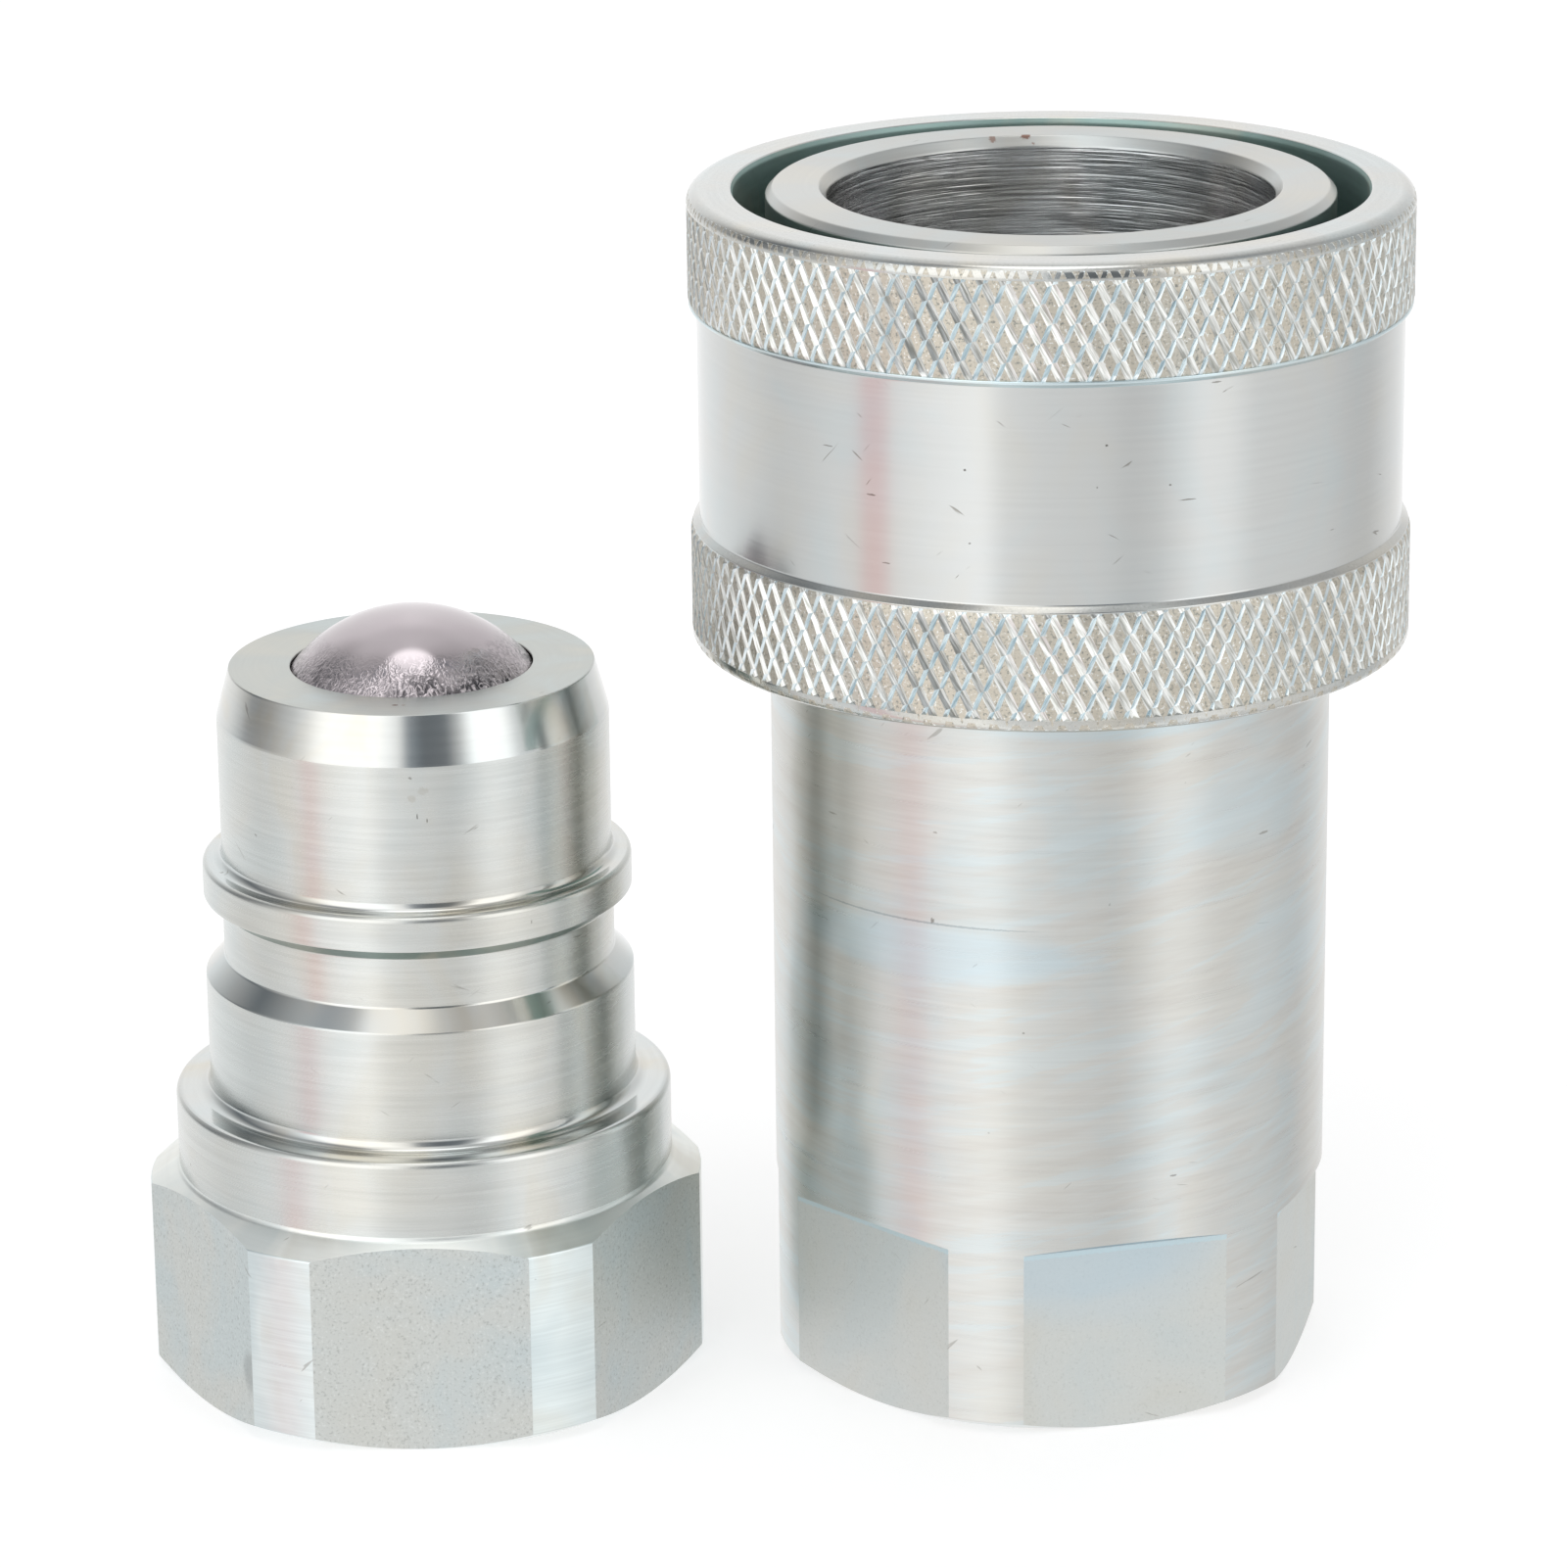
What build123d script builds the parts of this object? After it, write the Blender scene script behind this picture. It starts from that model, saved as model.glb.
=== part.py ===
from build123d import *
import os
from math import cos, radians, sin, sqrt, tan

# Hydraulic quick coupler, 1/2 inch body size, drawn uncoupled: the socket and the plug stand side by side
# on their port faces. Millimetres, +Z up. The origin is on the socket's axis at its port face, and the
# plug's axis is on the -X side.

# Where the plug stands
plug_spacing = 33.25

# Ports, both halves: a parallel 1/2 inch pipe thread, drawn as its plain bore at the thread's crests
port_bore_d = 18.63
port_chamfer = 1.3

# Wrench faces, and the cone turned at both feet, which takes the corners between them
wrench_size = 27.0
foot_cone_angle = 30.0
socket_flat_height = 10.05
socket_flat_runout = 0.55
socket_flats_turn = 41.7
plug_hex_turn = 28.3

# Plug, outside, heights from its port face
plug_length = 38.5
plug_nose_d = 20.4
plug_face_d = 19.0
plug_nose_cone_length = 2.55
plug_nose_foot_height = 28.85
collar_d = 22.45
collar_top_height = 28.25
collar_bottom_height = 26.4
groove_d = 20.5
groove_bottom_height = 23.05
skirt_d = 22.5
skirt_top_height = 22.0
skirt_bottom_height = 15.65
skirt_cove = 0.55
shoulder_d = 26.15
shoulder_edge_round = 0.35
shoulder_bottom_height = 11.4
hex_turned_d = 29.25
hex_cone_angle = 30.0
plug_base_d = 26.9
collar_cove = 0.45
collar_edge_round = 0.3

# Valves, the same ball, spring and seat in both halves
valve_ball_d = 15.875
valve_seat_d = 12.6
valve_seat_angle = 35.0
valve_seat_land = 0.15
valve_chamber_d = 17.6
valve_stroke = 3.6
valve_spring_length = 10.0
valve_spring_mean_d = 9.2
valve_spring_wire = 1.0
valve_spring_turns = 4.5

# Valve guides: a drilled disc with a post that stops the ball
guide_thickness = 1.2
guide_post_d = 5.2
guide_hole_d = 3.8
guide_hole_circle_d = 12.4
guide_hole_count = 4
circlip_thickness = 1.0
circlip_groove_d = 19.9
circlip_width = 1.5
circlip_gap_angle = 40.0
circlip_ear_r = 1.35
circlip_ear_hole_d = 1.2

# Socket body, outside
socket_length = 63.05
body_d = 29.15
rear_body_below_top = 22.05
socket_base_d = 26.9
nose_edge_chamfer = 0.375
rear_chamber_d = 20.4

# Socket front body
mouth_d = 22.9
mouth_chamfer = 0.385
mouth_chamfer_length = 0.53
cage_d = 27.1
stem_d = 25.0
stem_length = 9.5
seal_bore_d = 20.6
seal_entry_length = 0.65
seal_land_length = 2.1
cup_floor_d = 19.4
cup_cone_length = 2.2

# Locking balls
lock_ball_d = 3.175
lock_ball_count = 8
lock_ball_depth = 8.1
lock_hole_d = 3.24
lock_lip_length = 0.35
lock_first_angle = 22.5

# Sleeve
sleeve_proud = 0.01
sleeve_length = 23.66
sleeve_wall = 3.5
sleeve_band_depth = 0.45
upper_knurl_length = 6.16
lower_knurl_length = 6.15
knurl_edge_slope = 0.3
sleeve_mouth_gap = 1.65
sleeve_mouth_chamfer = 0.125
sleeve_edge_round = 0.68
sleeve_foot_round = 0.5
land_d = 27.24
land_over_ball = 0.5
land_length = 3.1
spring_chamber_d = 30.2
rear_lip_length = 1.5
sleeve_ramp_angle = 45.0

# Sleeve spring and stop ring
sleeve_spring_wire = 1.0
sleeve_spring_turns = 4.5
stop_ring_wire = 1.2
stop_ring_gap_angle = 14.0

# Seals
nose_seal_section = 2.0
nose_seal_inner_d = 20.3
nose_groove_d = 24.6
nose_groove_height = 3.9
backup_ring_thickness = 1.2
joint_seal_section = 1.3
joint_groove_d = 22.2
joint_groove_height = 1.7
joint_groove_above_stem_end = 1.2

# Clearances
seat_gap = 0.03
contact_gap = 0.02
ring_gap = 0.05
guide_fit = 0.07
lip_fit = 0.075
lock_play = 0.05
coupled_face_gap = 0.4
stem_end_gap = 0.2

# Worked out: the valve ball below its seat's rim, and its spring and guide below the ball
ball_r = valve_ball_d / 2
seat_slope = radians(valve_seat_angle)
seat_cone_to_ball = (ball_r * cos(seat_slope) - valve_seat_d / 2) / tan(seat_slope)
ball_drop = valve_seat_land + seat_cone_to_ball + ball_r * sin(seat_slope) + seat_gap / sin(seat_slope)
valve_wire_r = valve_spring_wire / 2
ball_to_wire = ball_r + valve_wire_r + ring_gap
spring_top_drop = sqrt(ball_to_wire ** 2 - (valve_spring_mean_d / 2) ** 2) - valve_wire_r
guide_drop = spring_top_drop + valve_spring_length
post_length = guide_drop - ball_r - valve_stroke - ring_gap
port_r = port_bore_d / 2
chamber_r = valve_chamber_d / 2
plug_ball_z = plug_length - ball_drop
plug_guide_top_z = plug_ball_z - guide_drop
circlip_bottom_z = plug_guide_top_z - guide_thickness - contact_gap - circlip_thickness
plug_ledge_z = plug_guide_top_z + contact_gap

# Worked out: how the plug locks in the socket, which places the socket's inside
lock_r = lock_ball_d / 2
lock_rest_r = groove_d / 2 + lock_play + lock_r
lock_open_r = collar_d / 2 + lock_play + lock_r
lock_travel = lock_open_r - lock_rest_r
lock_z = socket_length - lock_ball_depth
ball_under_collar = sqrt(lock_r ** 2 - (lock_rest_r - collar_d / 2) ** 2)
coupled_face_z = lock_z - ball_under_collar - (plug_length - collar_bottom_height)
coupled_nose_foot_z = coupled_face_z + plug_length - plug_nose_foot_height
seat_rim_z = coupled_face_z - coupled_face_gap
socket_ball_z = seat_rim_z - ball_drop
socket_guide_top_z = socket_ball_z - guide_drop
socket_ledge_z = socket_guide_top_z - guide_thickness
rear_body_top_z = socket_length - rear_body_below_top
stem_end_z = rear_body_top_z - stem_length
seal_land_z = coupled_nose_foot_z - seal_entry_length - seal_land_length
nose_groove_z = seal_land_z - nose_groove_height

# Worked out: the sleeve, flush with the nose at the top, and its lip below the joint of the two bodies
sleeve_top_z = socket_length + sleeve_proud
sleeve_bottom_z = sleeve_top_z - sleeve_length
upper_knurl_z = sleeve_top_z - upper_knurl_length
lower_knurl_z = sleeve_bottom_z + lower_knurl_length
knurl_d = spring_chamber_d + 2 * sleeve_wall
sleeve_mouth_d = body_d + 2 * sleeve_mouth_gap

# Worked out: the land, the stop ring on its ramp and the flange over the ring
land_edge_z = lock_z + land_over_ball
ramp_slope = radians(sleeve_ramp_angle)
stop_wire_r = stop_ring_wire / 2
stop_ring_r = cage_d / 2 + stop_wire_r + contact_gap
ramp_at_ring_z = land_edge_z + (stop_ring_r - land_d / 2) * tan(ramp_slope)
stop_ring_z = ramp_at_ring_z + (stop_wire_r + contact_gap) / cos(ramp_slope)
flange_bottom_z = stop_ring_z + stop_wire_r + contact_gap
land_bottom_z = land_edge_z - land_length
sleeve_spring_r = (cage_d + sleeve_spring_wire) / 2 + guide_fit


def turned(corners):
    """A turned solid: corners are (radius, height), and a third value rounds that corner."""
    outline = make_face(Plane.XZ * Polyline(*[corner[:2] for corner in corners], close=True))
    for corner in corners:
        if len(corner) == 3:
            here = Vector(corner[0], 0, corner[1])
            outline = fillet(outline.vertices().sort_by_distance(here)[0], corner[2])
    return revolve(outline, Axis.Z)


def foot_cone_height(outer_r, base_r):
    return (outer_r - base_r) * tan(radians(foot_cone_angle))


def valve_pocket(rim_z, bottom_z):
    """What the seat, its cone and the valve chamber remove, from above the rim down to bottom_z."""
    rim_r = valve_seat_d / 2
    cone_top_z = rim_z - valve_seat_land
    cone_bottom_z = cone_top_z - (chamber_r - rim_r) / tan(seat_slope)
    return turned([
        (0, rim_z + 1),
        (rim_r, rim_z + 1),
        (rim_r, cone_top_z),
        (chamber_r, cone_bottom_z),
        (chamber_r, bottom_z),
        (0, bottom_z),
    ])


def port_bore(top_z):
    """The port's plain bore with its mouth chamfer, up to top_z."""
    return turned([
        (0, -1),
        (port_r + port_chamfer + 1, -1),
        (port_r, port_chamfer),
        (port_r, top_z),
        (0, top_z),
    ])


def coil(mean_r, wire_d, length, turns, bottom_z):
    """A compression spring that stands on bottom_z."""
    rise = length - wire_d
    path = Helix(pitch=rise / turns, height=rise, radius=mean_r)
    section = Plane(origin=path @ 0, z_dir=path % 0) * Circle(wire_d / 2)
    return Pos(0, 0, bottom_z + wire_d / 2) * sweep(section, path=path)


def ring(mean_r, section_d, z):
    return Pos(0, 0, z) * Torus(mean_r, section_d / 2)


def flat_cutters(turn):
    """Six cutters for the wrench flats; each ends in the sloped run-out that the milling cutter leaves."""
    flat_r = wrench_size / 2
    outer_r = body_d
    runout_end_z = socket_flat_height + socket_flat_runout * (outer_r - flat_r) / (body_d / 2 - flat_r)
    side = make_face(Plane.XZ * Polyline(
        (flat_r, -1), (outer_r, -1), (outer_r, runout_end_z), (flat_r, socket_flat_height), close=True))
    cutter = extrude(side, body_d / 2, both=True)
    return [Rot(0, 0, turn + 60 * index) * cutter for index in range(6)]


def socket_rear_body():
    body_r = body_d / 2
    base_r = socket_base_d / 2
    blank = turned([
        (0, 0),
        (base_r, 0),
        (body_r, foot_cone_height(body_r, base_r)),
        (body_r, rear_body_top_z),
        (0, rear_body_top_z),
    ])
    chamber = turned([
        (0, socket_ledge_z),
        (rear_chamber_d / 2, socket_ledge_z),
        (rear_chamber_d / 2, stem_end_z - stem_end_gap),
        (stem_d / 2, stem_end_z - stem_end_gap),
        (stem_d / 2, rear_body_top_z + 1),
        (0, rear_body_top_z + 1),
    ])
    body = blank - chamber - port_bore(socket_ledge_z + 1)
    for cutter in flat_cutters(socket_flats_turn):
        body -= cutter
    return body


def lock_hole():
    """A cage hole along +X: the ball's running hole, narrowed at the mouth bore by a retaining lip."""
    mouth_r = mouth_d / 2
    lip_r = sqrt(lock_r ** 2 - (lock_rest_r - mouth_r) ** 2) + contact_gap
    lip_slope = (lock_hole_d / 2 - lip_r) / lock_lip_length
    reach = lock_r / 2
    lip = Cone(lip_r - reach * lip_slope, lock_hole_d / 2, lock_lip_length + reach,
               align=(Align.CENTER, Align.CENTER, Align.MIN))
    bore_length = cage_d
    bore = Cylinder(lock_hole_d / 2, bore_length, align=(Align.CENTER, Align.CENTER, Align.MIN))
    tool = Pos(0, 0, mouth_r - reach) * lip + Pos(0, 0, mouth_r + lock_lip_length) * bore
    return Pos(0, 0, lock_z) * (Rot(0, 90, 0) * tool)


def lock_angles():
    return [lock_first_angle + 360 / lock_ball_count * index for index in range(lock_ball_count)]


def socket_front_body():
    body_r = body_d / 2
    mouth_r = mouth_d / 2
    seal_r = seal_bore_d / 2
    outside = turned([
        (0, stem_end_z),
        (stem_d / 2, stem_end_z),
        (stem_d / 2, rear_body_top_z),
        (cage_d / 2, rear_body_top_z),
        (cage_d / 2, flange_bottom_z),
        (body_r, flange_bottom_z),
        (body_r, socket_length - nose_edge_chamfer),
        (body_r - nose_edge_chamfer, socket_length),
        (0, socket_length),
    ])
    mouth = turned([
        (0, seat_rim_z),
        (cup_floor_d / 2, seat_rim_z),
        (seal_r, seat_rim_z + cup_cone_length),
        (seal_r, coupled_nose_foot_z - seal_entry_length),
        (mouth_r, coupled_nose_foot_z),
        (mouth_r, socket_length - mouth_chamfer_length),
        (mouth_r + 2 * mouth_chamfer, socket_length + mouth_chamfer_length),
        (0, socket_length + mouth_chamfer_length),
    ])
    seal_groove = turned([
        (seal_r - 1, nose_groove_z),
        (nose_groove_d / 2, nose_groove_z),
        (nose_groove_d / 2, seal_land_z),
        (seal_r - 1, seal_land_z),
    ])
    joint_groove_z = stem_end_z + joint_groove_above_stem_end
    joint_groove = turned([
        (joint_groove_d / 2, joint_groove_z),
        (stem_d / 2 + 1, joint_groove_z),
        (stem_d / 2 + 1, joint_groove_z + joint_groove_height),
        (joint_groove_d / 2, joint_groove_z + joint_groove_height),
    ])
    body = outside - mouth - seal_groove - joint_groove - valve_pocket(seat_rim_z, stem_end_z - 1)
    for angle in lock_angles():
        body -= Rot(0, 0, angle) * lock_hole()
    return body


def sleeve():
    knurl_r = knurl_d / 2
    band_r = knurl_r - sleeve_band_depth
    mouth_r = sleeve_mouth_d / 2
    land_r = land_d / 2
    ramp_top_z = land_edge_z + (mouth_r - land_r) * tan(ramp_slope)
    lip_r = body_d / 2 + lip_fit
    lip_top_z = sleeve_bottom_z + rear_lip_length
    rim_width = knurl_r - mouth_r - sleeve_mouth_chamfer
    return turned([
        (mouth_r + sleeve_mouth_chamfer, sleeve_top_z),
        (knurl_r, sleeve_top_z, min(sleeve_edge_round, rim_width / 2)),
        (knurl_r, upper_knurl_z + knurl_edge_slope),
        (band_r, upper_knurl_z),
        (band_r, lower_knurl_z + knurl_edge_slope),
        (knurl_r, lower_knurl_z),
        (knurl_r, sleeve_bottom_z, sleeve_foot_round),
        (lip_r, sleeve_bottom_z),
        (lip_r, lip_top_z),
        (spring_chamber_d / 2, lip_top_z),
        (spring_chamber_d / 2, land_bottom_z),
        (land_r, land_bottom_z),
        (land_r, land_edge_z),
        (mouth_r, ramp_top_z),
        (mouth_r, sleeve_top_z - 2 * sleeve_mouth_chamfer),
    ])


def sleeve_stop_ring():
    """A wire ring with a gap, so that it can be opened over the flange and sprung in under it."""
    section = Pos(stop_ring_r, 0, stop_ring_z) * (Plane.XZ * Circle(stop_wire_r))
    arc = 360 - stop_ring_gap_angle
    return Rot(0, 0, stop_ring_gap_angle / 2) * revolve(section, Axis.Z, arc)


def sleeve_spring():
    length = land_bottom_z - rear_body_top_z - 2 * contact_gap
    return coil(sleeve_spring_r, sleeve_spring_wire, length, sleeve_spring_turns,
                rear_body_top_z + contact_gap)


def locking_ball(angle):
    return Rot(0, 0, angle) * (Pos(lock_rest_r, 0, lock_z) * Sphere(lock_r))


def nose_seal():
    mean_r = (nose_seal_inner_d + nose_seal_section) / 2
    return ring(mean_r, nose_seal_section, nose_groove_z + nose_seal_section / 2 + contact_gap)


def backup_ring():
    bottom_z = nose_groove_z + nose_seal_section + 2 * contact_gap + ring_gap
    return turned([
        (seal_bore_d / 2 + contact_gap, bottom_z),
        (nose_groove_d / 2 - ring_gap, bottom_z),
        (nose_groove_d / 2 - ring_gap, bottom_z + backup_ring_thickness),
        (seal_bore_d / 2 + contact_gap, bottom_z + backup_ring_thickness),
    ])


def body_joint_o_ring():
    mean_r = joint_groove_d / 2 + contact_gap + joint_seal_section / 2
    groove_middle_z = stem_end_z + joint_groove_above_stem_end + joint_groove_height / 2
    return ring(mean_r, joint_seal_section, groove_middle_z)


def valve_ball(z):
    return Pos(0, 0, z) * Sphere(ball_r)


def valve_spring(guide_top_z):
    return coil(valve_spring_mean_d / 2, valve_spring_wire, valve_spring_length - contact_gap,
                valve_spring_turns, guide_top_z + contact_gap)


def valve_guide(disc_r, top_z):
    """A disc with flow holes round a post; the spring stands round the post, which ends the ball's stroke."""
    lift = (Align.CENTER, Align.CENTER, Align.MIN)
    disc = Pos(0, 0, top_z - guide_thickness) * Cylinder(disc_r, guide_thickness, align=lift)
    post = Pos(0, 0, top_z) * Cylinder(guide_post_d / 2, post_length, align=lift)
    guide = disc + post
    for index in range(guide_hole_count):
        place = Rot(0, 0, 360 / guide_hole_count * index) * Pos(guide_hole_circle_d / 2, 0, top_z)
        guide -= place * Cylinder(guide_hole_d / 2, 3 * guide_thickness)
    return guide


def plug_body():
    hex_r = hex_turned_d / 2
    base_r = plug_base_d / 2
    shoulder_r = shoulder_d / 2
    hex_top_z = shoulder_bottom_height - (hex_r - shoulder_r) * tan(radians(hex_cone_angle))
    skirt_r = skirt_d / 2
    nose_r = plug_nose_d / 2
    blank = turned([
        (0, 0),
        (base_r, 0),
        (hex_r, foot_cone_height(hex_r, base_r)),
        (hex_r, hex_top_z),
        (shoulder_r, shoulder_bottom_height),
        (shoulder_r, skirt_bottom_height, shoulder_edge_round),
        (skirt_r, skirt_bottom_height, skirt_cove),
        (skirt_r, skirt_top_height),
        (groove_d / 2, groove_bottom_height),
        (groove_d / 2, collar_bottom_height),
        (collar_d / 2, collar_bottom_height),
        (collar_d / 2, collar_top_height, collar_edge_round),
        (nose_r, collar_top_height, collar_cove),
        (nose_r, plug_length - plug_nose_cone_length),
        (plug_face_d / 2, plug_length),
        (0, plug_length),
    ])
    lift = (Align.CENTER, Align.CENTER, Align.MIN)
    hexagon = extrude(RegularPolygon(wrench_size / 2, 6, major_radius=False), shoulder_bottom_height)
    upper = Pos(0, 0, shoulder_bottom_height) * Cylinder(hex_r, plug_length, align=lift)
    bar = Rot(0, 0, plug_hex_turn + 30) * hexagon + upper
    groove = Pos(0, 0, circlip_bottom_z - contact_gap) * Cylinder(
        circlip_groove_d / 2, circlip_thickness + 2 * contact_gap, align=lift)
    pocket = valve_pocket(plug_length, plug_ledge_z - 1)
    return (blank & bar) - pocket - port_bore(plug_ledge_z) - groove


def circlip():
    """An inner snap ring: an open band with two holed ears at its gap."""
    outer_r = circlip_groove_d / 2 - ring_gap
    inner_r = outer_r - circlip_width
    ear_angle = circlip_gap_angle / 2
    band = Circle(outer_r) - Circle(inner_r)
    reach = 2 * outer_r
    wedge = make_face(Polyline(
        (0, 0),
        (reach * cos(radians(ear_angle)), reach * sin(radians(ear_angle))),
        (reach * cos(radians(ear_angle)), -reach * sin(radians(ear_angle))),
        close=True))
    band -= wedge
    ear_r = outer_r - circlip_ear_r
    for side in (1, -1):
        place = Rot(0, 0, side * (ear_angle + 4)) * Pos(ear_r, 0)
        band += place * Circle(circlip_ear_r)
        band -= place * Circle(circlip_ear_hole_d / 2)
    return Pos(0, 0, circlip_bottom_z) * extrude(band, circlip_thickness)


def socket_pieces():
    pieces = {
        "socket_rear_body": socket_rear_body(),
        "socket_front_body": socket_front_body(),
        "sleeve": sleeve(),
        "sleeve_stop_ring": sleeve_stop_ring(),
        "sleeve_spring": sleeve_spring(),
        "nose_seal": nose_seal(),
        "backup_ring": backup_ring(),
        "body_joint_o_ring": body_joint_o_ring(),
        "socket_valve_ball": valve_ball(socket_ball_z),
        "socket_valve_spring": valve_spring(socket_guide_top_z),
        "socket_valve_guide": valve_guide(rear_chamber_d / 2 - guide_fit, socket_guide_top_z),
    }
    for index, angle in enumerate(lock_angles()):
        pieces[f"locking_ball_{index + 1}"] = locking_ball(angle)
    return pieces


def plug_pieces():
    pieces = {
        "plug_body": plug_body(),
        "plug_valve_ball": valve_ball(plug_ball_z),
        "plug_valve_spring": valve_spring(plug_guide_top_z),
        "plug_valve_guide": valve_guide(port_r - guide_fit, plug_guide_top_z),
        "plug_circlip": circlip(),
    }
    return {name: Pos(-plug_spacing, 0, 0) * piece for name, piece in pieces.items()}


os.makedirs("parts", exist_ok=True)
for name, piece in {**socket_pieces(), **plug_pieces()}.items():
    export_step(piece, f"parts/{name}.step")
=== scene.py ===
from math import ceil, cos, pi, radians, sin, sqrt, tan

import bmesh
import bpy
from mathutils import Matrix, Vector


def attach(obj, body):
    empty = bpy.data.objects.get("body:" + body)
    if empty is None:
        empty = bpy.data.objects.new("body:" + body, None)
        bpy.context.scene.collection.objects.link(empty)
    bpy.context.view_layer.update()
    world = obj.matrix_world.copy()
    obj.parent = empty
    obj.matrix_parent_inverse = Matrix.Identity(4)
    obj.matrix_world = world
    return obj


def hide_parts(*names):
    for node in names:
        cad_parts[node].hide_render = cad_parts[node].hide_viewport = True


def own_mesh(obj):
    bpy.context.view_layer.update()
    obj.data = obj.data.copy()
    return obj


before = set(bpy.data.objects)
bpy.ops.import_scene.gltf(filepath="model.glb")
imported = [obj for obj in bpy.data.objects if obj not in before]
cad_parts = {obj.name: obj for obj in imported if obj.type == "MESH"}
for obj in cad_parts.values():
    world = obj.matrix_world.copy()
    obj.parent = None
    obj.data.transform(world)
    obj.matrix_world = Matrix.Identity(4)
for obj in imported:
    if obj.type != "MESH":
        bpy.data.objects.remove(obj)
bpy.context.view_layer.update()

# Hydraulic quick coupler, uncoupled: the socket stands on the origin and the plug on the -X side.
# Sizes in this file are millimetres until a mesh is finished, and metres from there on. _R is a radius.
MM = 0.001

PLUG_X = -33.25
ACROSS_FLATS = 27.0
SHARP_ANGLE = 32

# Turned corners: EDGE_BREAK unless the corner says otherwise
EDGE_BREAK = 0.06
PORT_EDGE = 0.03
FINE_ROUND = 0.2
LONG_WALL = 0.4
HOLDING_FACE = 0.04

# Socket
BODY_R = 14.575
STEM_R = 12.5
PASSAGE_R = 8.8
SEAT_R = 6.3
CAGE_R = 13.55
MOUTH_R = 11.45
FLAT_TOP = 10.05
FIRST_SOCKET_FLAT = 41.7
REAR_BODY_TOP = 41.0

# Ball lock
LOCK_ANGLES = [22.5 + 45 * index for index in range(8)]
LOCK_CENTRE_R = 11.8875
LOCK_HEIGHT = 54.95
LOCK_BALL_R = 3.175 / 2
LOCK_HOLE_R = 1.62
LAND_FOOT = 52.35

# Plug
CORNER_R = 14.625
SHOULDER_R = 13.075
SHOULDER_TOP = 15.65
NECK_R = 11.25
GROOVE_R = 10.25
COLLAR_R = 11.225
COLLAR_FOOT = 26.4
COLLAR_TOP = 28.25
PLUG_NOSE_R = 10.2
PLUG_TOP = 38.5
FIRST_PLUG_FLAT = 28.3

VALVE_BALL_R = 15.875 / 2

# Port threads: parallel pipe thread, 14 turns an inch
THREAD_PITCH = 1.814
THREAD_CREST_R = 9.315
THREAD_ROOT_R = 10.478
PORT_MOUTH_R = 10.615
PORT_CHAMFER = 0.137

# Knurl: two families of grooves 30 degrees either side of the axis; one wheel has cut wider than the other
KNURL_R = 18.6
KNURL_DEPTH = 0.12
KNURL_GROOVES = 104
KNURL_SLOPE = tan(radians(30))
KNURL_CELL_WIDTH = 2 * pi * KNURL_R / KNURL_GROOVES
KNURL_CELL_HEIGHT = KNURL_CELL_WIDTH / KNURL_SLOPE
KNURL_HALF_CELL = KNURL_CELL_WIDTH * cos(radians(30)) / 2
KNURL_FADE = 0.3
WIDE_HALF_GROOVE = 0.28
NARROW_HALF_GROOVE = 0.21
SAME_PLACE = 1e-4


# ---------------------------------------------------------------- meshes

def linear(hex_colour):
    """An sRGB hex colour as linear RGBA."""
    channels = [int(hex_colour[i:i + 2], 16) / 255 for i in (1, 3, 5)]
    return [c / 12.92 if c <= 0.04045 else ((c + 0.055) / 1.055) ** 2.4 for c in channels] + [1.0]


def whole(bm):
    """Everything in a mesh, as the operators take it."""
    return bm.verts[:] + bm.edges[:] + bm.faces[:]


def only(kind, parts):
    """The vertices or the edges among what an operator gives back."""
    return [part for part in parts if isinstance(part, kind)]


def turn_mesh(bm, degrees, axis):
    bmesh.ops.rotate(bm, cent=(0, 0, 0), matrix=Matrix.Rotation(radians(degrees), 3, axis), verts=bm.verts)


def shade_edges(bm, sharp_angle):
    """Shades smooth, with sharp edges at corners and where one finish meets another."""
    for face in bm.faces:
        face.smooth = True
    for edge in bm.edges:
        one_finish = len({face.material_index for face in edge.link_faces}) < 2
        edge.smooth = one_finish and edge.calc_face_angle(0.0) < radians(sharp_angle)


def finish_mesh(bm, name, sharp_angle=SHARP_ANGLE):
    """Cleans a mesh in mm, marks its sharp edges and makes it an object in metres."""
    bmesh.ops.remove_doubles(bm, verts=bm.verts, dist=1e-5)
    bmesh.ops.dissolve_degenerate(bm, edges=bm.edges, dist=1e-5)
    bmesh.ops.recalc_face_normals(bm, faces=bm.faces)
    shade_edges(bm, sharp_angle)
    bmesh.ops.scale(bm, vec=(MM, MM, MM), verts=bm.verts)
    mesh = bpy.data.meshes.new(name)
    bm.to_mesh(mesh)
    bm.free()
    piece = bpy.data.objects.new(name, mesh)
    bpy.context.scene.collection.objects.link(piece)
    return piece


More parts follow.
